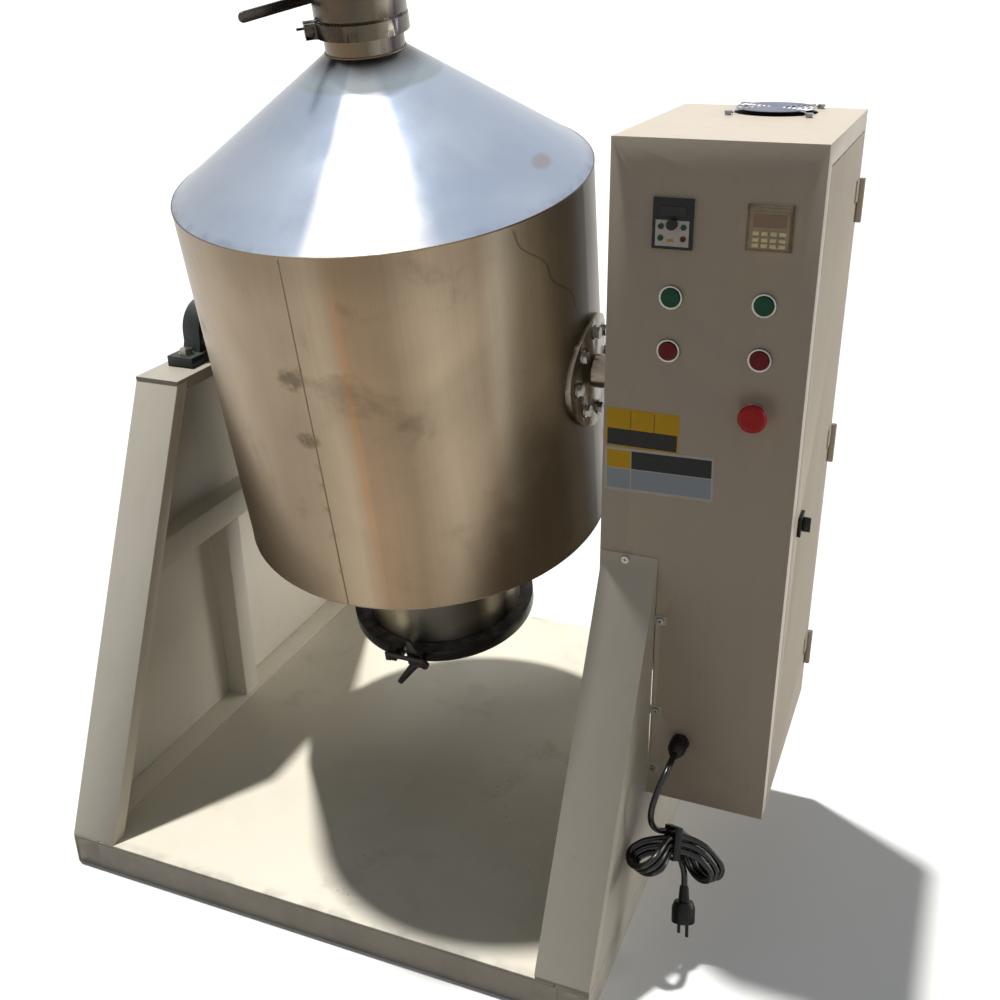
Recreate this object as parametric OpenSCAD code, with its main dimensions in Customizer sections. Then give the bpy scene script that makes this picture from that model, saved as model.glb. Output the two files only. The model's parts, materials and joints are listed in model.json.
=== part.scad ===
/* [Base] */
// Depth of the base from front to rear
base_depth = 914; // [860:2:1000]
// Side of the square base tube
rail = 50; // [40:1:60]
// Wall of the base tube
rail_wall = 3; // [2:0.5:6]
// Radius of the vent hole under each cross tube
vent_r = 5; // [3:0.5:8]
// Thickness of the floor plates
floor_t = 5; // [3:0.5:10]
// Width of the side strips of the floor
strip_w = 50; // [30:1:80]
// Seam between neighbouring sheets
seam = 1; // [0.5:0.1:2]

/* [End frames] */
// Width of an end frame along the shaft line
leg_w = 80; // [70:1:100]
// Thickness of a leg tube across its slope
leg_t = 25; // [20:1:34]
// Wall of a leg tube
leg_wall = 2.5; // [1.5:0.1:5]
// Top length of the left end frame
left_top = 294; // [260:2:330]
// Top length of the right end frame
right_top = 236; // [230:2:270]
// Thickness of a cap plate
cap_t = 6; // [4:0.5:12]
// Height of the lips under a cap plate
lip_h = 13; // [8:1:20]
// Thickness of the lips under a cap plate
lip_t = 5; // [3:0.5:8]
// Height of the crossbar's lower face over the ground
bar_z = 418; // [350:1:480]
// Width of the crossbar and strut tube
bar_w = 40; // [30:1:60]
// Height of the crossbar tube
bar_h = 50; // [30:1:70]
// Thickness of the side sheets and end covers
sheet_t = 2; // [1:0.1:4]
// Height of the upright flange of an end cover
flange_h = 20; // [14:1:30]
// Distance from a cover's flange foot up to its screw
flange_screw_up = 12; // [10:1:16]
// Distance of the cover screws from the inner side of the frame
cover_screw_in = 35; // [20:1:60]
// Width of the screw tabs of the side sheet
tab_w = 16; // [12:1:24]
// Height of the screw tabs of the side sheet
tab_h = 14; // [10:1:20]
// Thickness of the screw tabs
tab_t = 1.5; // [1:0.1:3]
// Radius of the sheet screws
screw_r = 2.5; // [2:0.1:3]
// Height of a sheet screw's head
screw_head_h = 3; // [2:0.1:4]
// Length of a sheet screw under its head
screw_len = 6; // [5:0.5:7]

/* [Bearings and shaft] */
// Height of the shaft line over the ground
shaft_z = 784; // [760:1:840]
// Radius of the trunnion shafts
shaft_r = 17.5; // [15:0.5:20]
// Height of the shaft line over a bearing's foot
bearing_h = 47.6; // [47:0.1:54]
// Length of a bearing's foot
foot_l = 167; // [150:1:190]
// Width of a bearing's foot
foot_w = 48; // [40:1:60]
// Thickness of a bearing's foot
foot_t = 17; // [12:0.5:22]
// Distance between the two bolts of a bearing
bolt_pitch = 127; // [120:1:140]
// Radius of the bearing bolts
bolt_r = 6; // [5:0.5:8]
// Outer radius of the bearing's ring
ring_r = 46; // [42:0.5:47]
// Width of the bearing's ring
ring_w = 32; // [26:1:40]
// Outer radius of the bearing insert
insert_r = 36; // [32:0.5:39]
// Width of the insert's outer race
race_w = 20; // [16:0.5:26]
// Outer radius of the insert's inner ring
inner_r = 23; // [21:0.1:26]
// Width of the insert's inner ring
inner_w = 43; // [36:1:50]
// Gap between the left trunnion hub and its bearing's inner ring
side_gap = 25.5; // [5:0.5:40]
// Radial clearance of a turning fit
fit = 0.05; // [0.01:0.01:0.1]

/* [Drum] */
// Distance of the drum's centre from the middle of the base
drum_off = -23; // [-40:1:0]
// Outer radius of the drum
drum_r = 300; // [280:1:310]
// Wall of the drum
drum_wall = 3; // [2:0.5:5]
// Tilt of the drum in its rest position
tilt = 10.8; // [0:0.1:20]
// Height of the upper rim over the shaft line
rim_up = 282; // [240:1:300]
// Depth of the lower rim under the shaft line
rim_down = 278; // [240:1:300]
// Height of the cone's narrow end over the shaft line
neck_s = 452; // [420:1:480]
// Outer radius of the neck
neck_r = 54; // [48:0.5:60]
// Length of the straight neck
neck_len = 26; // [22:1:40]
// Radius of a ferrule's flange
ferrule_r = 59.5; // [57:0.5:68]
// Thickness of a ferrule's flange
ferrule_t = 6.4; // [5:0.1:9]
// Outer radius of the feed collar
collar_r = 135; // [120:1:145]
// Depth of the collar's upper end under the shaft line
collar_s = 392; // [370:1:410]
// Length of the feed collar
collar_len = 104; // [90:1:120]
// Outer radius of the collar's flange
collar_flange_r = 155; // [150:1:165]
// Thickness of the collar's flange
collar_flange_t = 4; // [3:0.5:6]

/* [Trunnions] */
// Radius of the saddle pad round each trunnion
pad_r = 84; // [78:1:96]
// Thickness of the saddle pad
pad_t = 8; // [6:0.5:12]
// Radius of the trunnion hub
hub_r = 25; // [23:0.5:32]
// Height of the trunnion hub over the drum's side
hub_h = 30; // [24:1:34]
// Depth of the shaft's seat in the hub
hub_seat = 18; // [10:1:22]
// Circle of the saddle bolts
pad_pcd = 124; // [110:1:136]
// Number of saddle bolts on each side
pad_bolts = 8; // [6:1:10]
// Radius of the saddle bolts
pad_bolt_r = 5; // [4:0.5:6]
// Length of a saddle bolt's shank in the pad
pad_shank = 4; // [3:0.5:5]

/* [Neck valve] */
// Bore radius of the valve
valve_bore = 50; // [44:0.5:52]
// Radius of the valve's waist
valve_waist_r = 55; // [53:0.5:57]
// Outer radius of the valve's body
valve_r = 62; // [60:0.5:68]
// Length of each waist of the valve
waist_len = 7.3; // [5:0.1:10]
// Length of the valve's wide body
valve_len = 31; // [26:1:40]
// Thickness of the valve disc
disc_t = 5; // [3:0.5:8]
// Gap between the disc and the bore
disc_gap = 0.5; // [0.3:0.1:1]
// Radius of the valve's stem
stem_r = 6; // [5:0.5:7]
// Direction of the stem round the neck
stem_az = 160; // [120:5:200]
// Distance of the stem boss's face from the axis
boss_reach = 76; // [72:1:84]
// Radius of the stem boss
boss_r = 10; // [9:0.5:12]
// Length of the valve handle
handle_len = 130; // [100:1:160]
// Width of the valve handle
handle_w = 14; // [13:0.5:20]
// Thickness of the valve handle
handle_t = 4; // [3:0.5:6]
// Thickness of the neck clamp's band
band_t = 3; // [2:0.5:4]
// Thickness of the neck clamp's lips
band_lip = 3; // [2:0.5:4]
// Direction of the neck clamp's bolt round the neck
clamp_az = -145; // [-170:5:-120]

/* [Feed lid and clamp] */
// Thickness of the gasket between collar and lid
gasket_t = 4.7; // [4:0.1:6]
// Inner radius of the gasket
gasket_in = 134; // [130:0.5:137]
// Outer radius of the gasket
gasket_out = 153; // [146:0.5:154]
// Gap that keeps the open clamp pieces apart
clamp_gap = 0.5; // [0.3:0.1:0.8]
// Thickness of the feed lid's sheet
lid_t = 3; // [2:0.5:4]
// Radius where the lid's dish starts
lid_dish_r = 140; // [134:0.5:141]
// Depth of the lid's dish
lid_dish = 12; // [8:0.5:16]
// Outer radius of the clamp hoop
hoop_r = 161; // [159:0.5:172]
// Thickness of the clamp hoop
hoop_t = 4; // [3:0.5:4.5]
// Radial gap between hoop and flange
hoop_gap = 2; // [1.5:0.1:3]
// Radius of the clamp's hinge pin
hinge_r = 3; // [2.5:0.1:4]
// Distance of the clamp's hinge pin from the drum's axis
hinge_reach = 170; // [169:0.5:180]
// Outer radius of the clamp's knuckles
knuckle_r = 7; // [6.5:0.1:7.5]
// Height of each clamp knuckle
knuckle_h = 10; // [8:0.5:10.5]
// Thickness of the latch lever and the link
latch_t = 4; // [3:0.1:5]
// Throw of the latch lever's crank
crank = 18; // [15:0.5:19]
// Length of the latch lever's handle
lever_len = 62; // [50:1:80]
// Distance of the lever's pivot from the clamp's front split
pivot_x = 24; // [21:0.5:30]
// Distance of the hook's stud from the clamp's front split
stud_x = 22; // [18:0.5:30]

/* [Cabinet] */
// Width of the cabinet along the shaft line
cab_len = 253; // [246:1:280]
// Depth of the cabinet from front to rear
cab_depth = 355.7; // [345:0.1:370]
// Distance of the cabinet's front from the shaft line
cab_front = 195.3; // [190:0.1:205]
// Height of the cabinet's underside over the ground
cab_z0 = 204; // [180:1:230]
// Height of the cabinet
cab_h = 939.5; // [920:0.5:980]
// Wall of the cabinet
cab_wall = 2; // [1:0.1:3]
// Radius of the shaft's hole in the cabinet wall
shaft_hole_r = 30; // [25:1:40]
// Width of the frame in front of the door
door_front = 30; // [26:0.5:40]
// Width of the frame behind the door
door_rear = 14.4; // [14:0.1:16]
// Height of the frame over the door
door_over = 26.5; // [20:0.5:40]
// Depth of the folded edges round the door opening
return_d = 10; // [8:0.5:12]
// Thickness of the door's sheet
door_t = 1.5; // [1:0.1:2]
// Depth of the door's folded edges
door_fold = 8; // [5:0.5:9]
// Gap round the door
door_gap = 2; // [1.5:0.1:3]
// Number of door hinges
hinge_count = 3; // [2:1:4]
// Length of a door hinge
hinge_len = 60; // [40:2:80]
// Radius of a door hinge's barrel
barrel_r = 4.5; // [4:0.1:5]
// Radius of a door hinge's pin
barrel_pin_r = 2; // [1.5:0.1:2.5]
// Height of the door's latch over the ground
latch_z = 645; // [560:1:760]
// Distance of the latch from the door's front edge
latch_in = 43; // [36:0.5:60]
// Side of the latch's base
latch_w = 28; // [24:0.5:34]
// Radius of the latch's knob
latch_knob_r = 10; // [8:0.5:12]
// Reach of the latch's cam
cam_len = 52; // [50:0.5:60]

/* [Control devices] */
// Distance of the display and timer below the cabinet's top
panel_down = 97.5; // [80:0.5:130]
// Distance of the green buttons below the cabinet's top
green_down = 186.5; // [175:0.5:210]
// Distance of the red buttons below the cabinet's top
red_down = 254; // [243:0.5:270]
// Distance of the emergency stop below the cabinet's top
stop_down = 323.5; // [305:0.5:340]
// Distance of the left column of buttons from the cabinet's left side
col_left = 82; // [70:0.5:90]
// Distance of the right column of buttons from the cabinet's left side
col_right = 195.5; // [180:0.5:200]
// Distance of the display from the cabinet's left side
inverter_in = 80; // [70:0.5:90]
// Distance of the timer from the cabinet's left side
timer_in = 194.5; // [180:0.5:200]
// Width of the display unit
inv_w = 49; // [46:0.5:60]
// Height of the display unit
inv_h = 60; // [56:0.5:70]
// Depth of the display unit behind the panel
inv_body = 90; // [70:1:110]
// Width of the timer
timer_w = 53; // [48:0.5:60]
// Height of the timer
timer_h = 49; // [44:0.5:56]
// Depth of the timer behind the panel
timer_body = 80; // [60:1:100]
// Height of the face of a panel device over the panel
face_t = 4; // [3:0.5:5]
// Radius of the buttons' bezels
bezel_r = 14.75; // [14:0.25:16]
// Height of the buttons' bezels
bezel_h = 4.5; // [4:0.1:6]
// Radius of the button caps
cap_r = 11.6; // [10:0.1:12]
// Height of a button cap over the panel
cap_up = 7; // [6.5:0.1:9]
// Travel of a button
press = 3; // [2:0.1:3.2]
// Radius of the threaded tube behind a button
tube_r = 11; // [10:0.5:11.5]
// Length of the threaded tube behind a button
tube_len = 24; // [20:1:30]
// Radius of a button's plunger
plunger_r = 8; // [6:0.5:8.5]
// Side of a contact block
block_w = 30; // [24:1:34]
// Depth of a contact block
block_d = 36; // [28:1:36]
// Radius of the emergency stop's head
mushroom_r = 18; // [16:0.5:20]
// Height of the emergency stop over the panel
mushroom_up = 28; // [26:0.5:34]
// Travel of the emergency stop
stop_press = 5; // [3:0.5:5.5]

/* [Drive] */
// Thickness of the drive plate
drive_t = 8; // [6:0.5:12]
// Half width of the drive plate's foot
drive_foot = 150; // [146:1:154]
// Half width of the drive plate's top
drive_top = 100; // [95:1:120]
// Height of the drive plate's underside over the ground
drive_z = 600; // [580:1:620]
// Height of the drive plate's straight foot
drive_foot_h = 60; // [40:1:70]
// Height of the drive plate's top over the shaft line
drive_up = 106; // [100:1:118]
// Radius of the gearbox's flange
gear_flange_r = 95; // [93:0.5:98]
// Thickness of the gearbox's flange
gear_flange_t = 10; // [8:0.5:14]
// Circle of the gearbox's bolts
gear_pcd = 168; // [164:1:172]
// Radius of the gearbox's bolts
gear_bolt_r = 5; // [4:0.5:6]
// Radius of the worm wheel's case
wheel_case_r = 74; // [70:0.5:75]
// Length of the worm wheel's case
wheel_case_len = 110; // [100:1:116]
// Radius of the output hub
out_hub_r = 30; // [26:0.5:36]
// Length of the output hub beyond the case
out_hub_len = 20; // [10:1:22]
// Distance of the worm's axis in front of the shaft line
worm_y = 90; // [86:0.5:96]
// Radius of the worm's case
worm_r = 42; // [38:0.5:44]
// Height of the worm's case
worm_h = 150; // [120:1:160]
// Radius of the motor's flange
motor_flange_r = 66; // [62:0.5:68]
// Thickness of the motor's flange
motor_flange_t = 12; // [8:0.5:16]
// Radius of the motor's body
motor_r = 60; // [56:0.5:61]
// Radius over the motor's fins
fin_r = 67; // [64:0.5:68]
// Thickness of a motor fin
fin_t = 2.4; // [1.6:0.1:3]
// Number of motor fins
fin_count = 28; // [20:1:32]
// Length of the motor's body
motor_len = 190; // [170:1:210]
// Length of the motor's fan cowl
cowl_len = 76; // [60:1:90]
// Wall of the fan cowl
cowl_wall = 2; // [1.5:0.1:3]

/* [Cabinet fan] */
// Side of the fan's frame
fan_w = 120; // [119:1:124]
// Depth of the fan's frame
fan_d = 38; // [32:1:40]
// Distance of the fan from the cabinet's left side
fan_in = 140; // [130:1:160]
// Distance of the fan behind the shaft line
fan_y = 95; // [85:1:96]
// Radius of the fan's duct
duct_r = 56; // [54:0.5:57]
// Distance between the fan's screws
fan_pitch = 105; // [104:0.5:106]
// Radius of the fan's hub
fan_hub_r = 28; // [24:0.5:30]
// Number of fan blades
blade_count = 7; // [5:1:9]
// Radius of the guard's wire
wire_r = 1.1; // [0.8:0.1:1.6]
// Number of rings in the guard
guard_rings = 6; // [4:1:8]
// Height of the guard over the cabinet
guard_up = 6; // [5:0.5:8]

/* [Supply cord] */
// Diameter of the supply cord
cord_d = 9; // [8:0.1:9.2]
// Radius of the bend that the tied hank hangs in
hank_bend = 80; // [78:1:90]
// Radius of the hank's end folds
fold_r = 27; // [26:0.5:30]
// Distance of the left fold from the tie
fold_left = 60; // [56:1:70]
// Distance of the right fold from the tie
fold_right = 83; // [78:1:90]
// Step from one layer of the hank to the next
layer_step = 9.8; // [9.6:0.1:11]
// Number of loops in the hank
loops = 3; // [2:1:3]
// Radius of the gland's dome
gland_r = 14; // [12:0.5:16]
// Radius of the plug
plug_r = 17; // [15:0.5:19]

/* [Hidden] */
$fn = 64;

// Overrun of a cutting tool past the face that it cuts
over = 5;
// Clearance of a bolt or screw in its hole
hole_gap = 0.3;
// Gap between moving pieces that don't touch
free_gap = 0.3;
// Gap between the faces of stacked clamp pieces
stack_gap = 0.3;

// Places of the base and the end frames
deck_z = rail + floor_t;
cap_z = shaft_z - bearing_h;
leg_top = cap_z - cap_t;
leg_rise = leg_top - deck_z;
base_len = 2 * (drum_r + hub_h - drum_off + side_gap + inner_w / 2 + leg_w / 2);
half_len = base_len / 2;
frame_mid = half_len - leg_w / 2;
function leg_run(top) = (base_depth - top) / 2;
function slant(top) = norm([leg_run(top), leg_rise]) / leg_rise;
function out_y(top, z) = base_depth / 2 - leg_run(top) * (z - deck_z) / leg_rise;
function in_y(top, z) = out_y(top, z) - leg_t * slant(top);
function out_z(top, y) = deck_z + (base_depth / 2 - y) * leg_rise / leg_run(top);
function in_z(top, y) = out_z(top, y + leg_t * slant(top));

// Places of the cabinet
cab_x0 = half_len - leg_w - cab_wall;
cab_x1 = cab_x0 + cab_len;
cab_y0 = -cab_front;
cab_y1 = cab_y0 + cab_depth;
cab_z1 = cab_z0 + cab_h;
notch_gap = 0.5;
notch_over = 5;
door_y0 = cab_y0 + door_front;
door_y1 = cab_y1 - door_rear;
door_z0 = cab_z0 + cab_wall;
door_z1 = cab_z1 - door_over;
door_h = door_z1 - door_z0 - 2 * door_gap;
barrel_gap = 0.21;
door_axis_x = cab_x1 + barrel_r + barrel_gap;
door_axis_y = door_y1 - door_gap + seam;
end_share = 0.1;
hinge_shares = [for (i = [0 : hinge_count - 1]) end_share + (1 - 2 * end_share) * i / (hinge_count - 1)];
hinge_zs = [for (k = hinge_shares) door_z0 + door_gap + k * door_h];
latch_y = door_y0 + door_gap + latch_in;
latch_base_t = 5;
latch_proud = 11;
latch_spindle_r = 6;
cam_t = 3;
cam_w = 14;
cam_gap = 1;
cover_z = [out_z(right_top, cab_front), out_z(right_top, cab_y1)];
cover_screw_x = half_len - leg_w + cover_screw_in;
tab_shares = [0.05, 0.158, 0.317];
tab_zs = [for (k = tab_shares) cab_z0 + k * cab_h];
tab_screw_x = half_len + tab_w / 2;

// Head sizes of bolts and screws as shares of their radius
head_share = 1.85;
head_h_share = 1.25;
washer_share = 2.1;
washer_t = 2;

// Places of the drum along its own axis, counted from the shaft line
wall_run = drum_r - neck_r;
cone_rise = neck_s - rim_up;
wall_drop = drum_wall * norm([wall_run, cone_rise]) / wall_run;
function cone_s(r) = rim_up + (drum_r - r) * cone_rise / wall_run;
low_run = drum_r - collar_r;
low_rise = collar_s - rim_down;
low_drop = drum_wall * norm([low_run, low_rise]) / low_run;
function low_s(r) = rim_down + (drum_r - r) * low_rise / low_run;
neck_top = neck_s + neck_len;
ferrule_top = neck_top + ferrule_t;
valve_s0 = ferrule_top + ferrule_t;
valve_s1 = valve_s0 + waist_len;
valve_s2 = valve_s1 + valve_len;
valve_s3 = valve_s2 + waist_len;
valve_top = valve_s3 + ferrule_t;
disc_s = (valve_s1 + valve_s2) / 2;
collar_end = collar_s + collar_len + collar_flange_t;
flange_s = collar_end - collar_flange_t;
gasket_s = collar_end + stack_gap;
lid_s = gasket_s + gasket_t;
lid_low = lid_s + lid_t;
hoop_top = flange_s - clamp_gap - hoop_t;
hoop_low = lid_low + clamp_gap + hoop_t;
hoop_in = collar_r + hoop_gap;
hoop_lip_in = lid_dish_r + lid_t;
split_front = 3;
split_rear = 1.5;
lug_h = 16;
lug_w = 12;

// Places of the latch on the clamp's front
lug_out = 6;
lug_y = hoop_r + lug_out;
lug_t = 5;
lever_y = lug_y + lug_t + stack_gap;
link_y = lever_y + latch_t + stack_gap;
link_t = 3;
pivot_up = 7.5;
stud_up = 10.5;
pivot_s = hoop_low - pivot_up;
stud_s = hoop_low - stud_up;
crank_angle = 8;
lever_angle = -125;
crank_pin = [pivot_x + crank * cos(crank_angle), -pivot_s + crank * sin(crank_angle)];
lever_tip = [pivot_x + lever_len * cos(lever_angle), -pivot_s + lever_len * sin(lever_angle)];
eye_r = 7.5;
arm_r = 5;
link_up = 3.5;
link_h = 9;
hook_drop = 5;
hook_w = 5;

// Places of the drive
drive_x = half_len;
gear_x = drive_x + drive_t;
case_x0 = gear_x + gear_flange_t;
case_x1 = case_x0 + wheel_case_len;
worm_in = 64;
worm_x = case_x0 + worm_in;
motor_top = shaft_z - worm_h / 2;
motor_low = motor_top - motor_flange_t - motor_len;
drive_hole_r = 56;
hollow_r = shaft_r + fit;
shaft_proud = 2;
shaft_x1 = case_x1 + out_hub_len + shaft_proud;
shaft_x0 = -frame_mid - inner_w / 2 - shaft_proud;

// Places of the electrical pieces
plate_gap = 12;
plate_front = 25.3;
plate_rear = 30.4;
plate_down = 53.5;
plate_h = 210;
plate_x = cab_x0 + cab_wall + plate_gap;
plate_t = 2;
plate_y = [cab_y0 + plate_front, cab_y1 - plate_rear];
plate_z = [cab_z1 - plate_down - plate_h, cab_z1 - plate_down];
spacer_r = 6;
spacer_in = 20;
rail_h = 35;
rail_t = 7.5;
contactor = [80, 45, 75];
contactor_count = 3;
contactor_pitch = 60;
panel_z = cab_z1 - panel_down;
green_z = cab_z1 - green_down;
red_z = cab_z1 - red_down;
stop_z = cab_z1 - stop_down;
inv_x = cab_x0 + inverter_in;
timer_x = cab_x0 + timer_in;
left_x = cab_x0 + col_left;
right_x = cab_x0 + col_right;
button_places = [[left_x, green_z], [right_x, green_z], [left_x, red_z], [right_x, red_z]];
body_in = 2;
recess_z = 0.8;
plunger_end = 3.5;
knob_pin_r = 2.5;
knob_r = 6.5;
knob_h = 7;
knob_pin_h = 5;
cover_pin_r = 1;
cover_barrel_r = 2;
cover_t = 1.2;
cover_d = 6;
gland_in = 128;
gland_up = 104;
gland_x = cab_x0 + gland_in;
gland_z = cab_z0 + gland_up;
gland_nose = 34.7;
gland_thread_r = 10;
fan_x = cab_x0 + fan_in;
fan_pin_r = 2;
fan_pin_h = 26.6;
fan_hub_t = 5;
fan_low = cab_z1 - cab_wall - fan_d;

// Colours of the pieces
paint = [0.8, 0.78, 0.72];
cream = [0.88, 0.86, 0.78];
steel = [0.75, 0.75, 0.76];
dark_iron = [0.14, 0.19, 0.17];
black = [0.06, 0.06, 0.06];
zinc = [0.7, 0.71, 0.72];

// An outline in depth and height, drawn out along the shaft line
module along_x(x0, w) translate([x0, 0, 0]) rotate([90, 0, 90]) linear_extrude(w) children();

// The left and the right end frame, each with its inner corner's place and its top length
module on_frames() {
  for (f = [[-half_len, left_top], [half_len - leg_w, right_top]]) {
    $frame_x = f[0];
    $frame_top = f[1];
    children();
  }
}

// A place on the cabinet's front, with the height towards the viewer
module on_front(x, z) translate([x, cab_y0, z]) rotate([90, 0, 0]) children();

// A hexagonal head with its washer, standing on the plane z = 0
module hex_head(r) {
  cylinder(r = r * washer_share, h = washer_t);
  translate([0, 0, washer_t]) cylinder(r = r * head_share, h = r * head_h_share, $fn = 6);
}

// A flat bar with round ends between two points of a plane
module bar_2d(a, b, ra, rb) {
  d = b - a;
  l = norm(d);
  lean = asin((ra - rb) / l);
  translate(a) circle(ra);
  translate(b) circle(rb);
  translate(a) rotate(atan2(d[1], d[0])) polygon([
    [ra * sin(lean), ra * cos(lean)], [l + rb * sin(lean), rb * cos(lean)],
    [l + rb * sin(lean), -rb * cos(lean)], [ra * sin(lean), -ra * cos(lean)]]);
}

module base_tube(len) {
  difference() {
    translate([-len / 2, -rail / 2, 0]) cube([len, rail, rail]);
    translate([-len / 2 - over, -rail / 2 + rail_wall, rail_wall])
      cube([len + 2 * over, rail - 2 * rail_wall, rail - 2 * rail_wall]);
  }
}

module base_frame() color(paint) {
  cross_len = base_len - 2 * rail;
  for (s = [-1, 1]) translate([s * (half_len - rail / 2), 0, 0]) rotate(90) base_tube(base_depth);
  for (k = [-1, 0, 1]) translate([0, k * (base_depth - rail) / 2, 0]) difference() {
    base_tube(cross_len);
    for (s = [-1, 1]) translate([s * (cross_len / 2 - rail), 0, -over])
      cylinder(r = vent_r, h = rail_wall + 2 * over);
  }
}

module floor_plates() color(cream) {
  mid_len = base_len - 2 * strip_w - 2 * seam;
  translate([-mid_len / 2, -base_depth / 2, rail]) cube([mid_len, base_depth, floor_t]);
  for (x = [-half_len, half_len - strip_w]) translate([x, -base_depth / 2, rail])
    cube([strip_w, base_depth, floor_t]);
}

// The rear leg of a frame; a cut is the space inside its wall, longer at both ends
module leg_profile(top, wall, extra) {
  z0 = deck_z - extra;
  z1 = leg_top + extra;
  w = wall * slant(top);
  polygon([[out_y(top, z0) - w, z0], [out_y(top, z1) - w, z1], [in_y(top, z1) + w, z1],
    [in_y(top, z0) + w, z0]]);
}

module leg_tubes() color(paint) on_frames() {
  for (s = [0, 1]) mirror([0, s, 0]) difference() {
    along_x($frame_x, leg_w) leg_profile($frame_top, 0, 0);
    along_x($frame_x + leg_wall, leg_w - 2 * leg_wall) leg_profile($frame_top, leg_wall, over);
  }
}

module frame_caps() color(paint) on_frames() {
  lip = in_y($frame_top, leg_top);
  difference() {
    union() {
      translate([$frame_x, -$frame_top / 2, leg_top]) cube([leg_w, $frame_top, cap_t]);
      for (x = [$frame_x, $frame_x + leg_w - lip_t]) translate([x, -lip, leg_top - lip_h])
        cube([lip_t, 2 * lip, lip_h]);
    }
    for (s = [-1, 1]) translate([$frame_x + leg_w / 2, s * bolt_pitch / 2, leg_top - over])
      cylinder(r = bolt_r + hole_gap, h = cap_t + 2 * over);
  }
}

// Where the crossbar and the strut of each frame begin: against the outer sheet
function bar_x(x) = x < 0 ? -half_len + sheet_t : half_len - sheet_t - bar_w;

module crossbar_profile(top, wall, extra) {
  z0 = bar_z + wall;
  z1 = bar_z + bar_h - wall;
  polygon([[-in_y(top, z0) - extra, z0], [in_y(top, z0) + extra, z0], [in_y(top, z1) + extra, z1],
    [-in_y(top, z1) - extra, z1]]);
}

module crossbars() color(paint) on_frames() difference() {
  along_x(bar_x($frame_x), bar_w) crossbar_profile($frame_top, 0, 0);
  along_x(bar_x($frame_x) + leg_wall, bar_w - 2 * leg_wall)
    crossbar_profile($frame_top, leg_wall, over);
}

module struts() color(paint) on_frames() translate([bar_x($frame_x), -bar_w / 2, 0]) difference() {
  translate([0, 0, deck_z]) cube([bar_w, bar_w, bar_z - deck_z]);
  translate([leg_wall, leg_wall, deck_z - over])
    cube([bar_w - 2 * leg_wall, bar_w - 2 * leg_wall, bar_z - deck_z + 2 * over]);
}

// Screws that hold the end covers and the side sheet on the cabinet
module at_panel_screws() {
  translate([cover_screw_x, cab_y0 - sheet_t, cover_z[0] + flange_screw_up]) rotate([90, 0, 0])
    children();
  translate([cover_screw_x, cab_y1 + sheet_t, cover_z[1] + flange_screw_up]) rotate([-90, 0, 0])
    children();
  for (z = tab_zs) translate([tab_screw_x, cab_y0 - tab_t, z]) rotate([90, 0, 0]) children();
}

module at_fan_screws() {
  for (x = [-1, 1], y = [-1, 1])
    translate([fan_x + x * fan_pitch / 2, fan_y + y * fan_pitch / 2, cab_z1]) children();
}

module screw_holes() {
  at_panel_screws() translate([0, 0, -screw_len - over])
    cylinder(r = screw_r + hole_gap, h = screw_len + 2 * over);
  at_fan_screws() translate([0, 0, -cab_wall - over])
    cylinder(r = screw_r + hole_gap, h = cab_wall + 2 * over);
}

module panel_screws() color(zinc) {
  at_panel_screws() {
    cylinder(r = screw_r * washer_share, h = screw_head_h);
    translate([0, 0, -screw_len]) cylinder(r = screw_r, h = screw_len);
  }
  at_fan_screws() {
    seat = 2 * wire_r + free_gap;
    translate([0, 0, seat]) cylinder(r = screw_r * washer_share, h = screw_head_h);
    translate([0, 0, -screw_len]) cylinder(r = screw_r, h = screw_len + seat);
  }
}

module left_sheet() {
  z1 = leg_top - lip_h - seam;
  along_x(-half_len, sheet_t) polygon([[-in_y(left_top, deck_z), deck_z],
    [in_y(left_top, deck_z), deck_z], [in_y(left_top, z1), z1], [-in_y(left_top, z1), z1]]);
}

module right_sheet() {
  y0 = cab_y0 - seam;
  y1 = cab_y1 + seam;
  z_mid = cab_z0 - seam;
  along_x(half_len - sheet_t, sheet_t) polygon([[-in_y(right_top, deck_z), deck_z],
    [in_y(right_top, deck_z), deck_z], [y1, in_z(right_top, y1)], [y1, z_mid], [y0, z_mid],
    [y0, in_z(right_top, -y0)]]);
  for (z = tab_zs) translate([half_len - sheet_t, y0 - tab_t + seam, z - tab_h / 2])
    cube([sheet_t + tab_w, tab_t, tab_h]);
}

module side_panels() color(paint) {
  left_sheet();
  difference() {
    right_sheet();
    screw_holes();
  }
}

// A cover over one slanted face of the right frame, ending in a flange on the cabinet at depth y
module cover_profile(y, z_top) {
  w = sheet_t * slant(right_top);
  steep = leg_rise / leg_run(right_top);
  z0 = deck_z + w * steep;
  polygon([[out_y(right_top, z0), z0], [y, z_top], [y, z_top + flange_h],
    [y + sheet_t, z_top + flange_h], [y + sheet_t, z_top + (w - sheet_t) * steep],
    [out_y(right_top, z0) + w, z0]]);
}

module end_covers() color(paint) difference() {
  union() {
    mirror([0, 1, 0]) along_x(half_len - leg_w, leg_w) cover_profile(cab_front, cover_z[0]);
    along_x(half_len - leg_w, leg_w) cover_profile(cab_y1, cover_z[1]);
  }
  screw_holes();
}

module at_bearings() {
  for (s = [-1, 1]) translate([s * frame_mid, 0, shaft_z]) children();
}

// A round piece along the shaft line, centred on the place
module axle(r, w) translate([-w / 2, 0, 0]) rotate([0, 90, 0]) cylinder(r = r, h = w);

module at_bearing_bolts() {
  for (s = [-1, 1], k = [-1, 1]) translate([s * frame_mid, k * bolt_pitch / 2, cap_z]) children();
}

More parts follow.
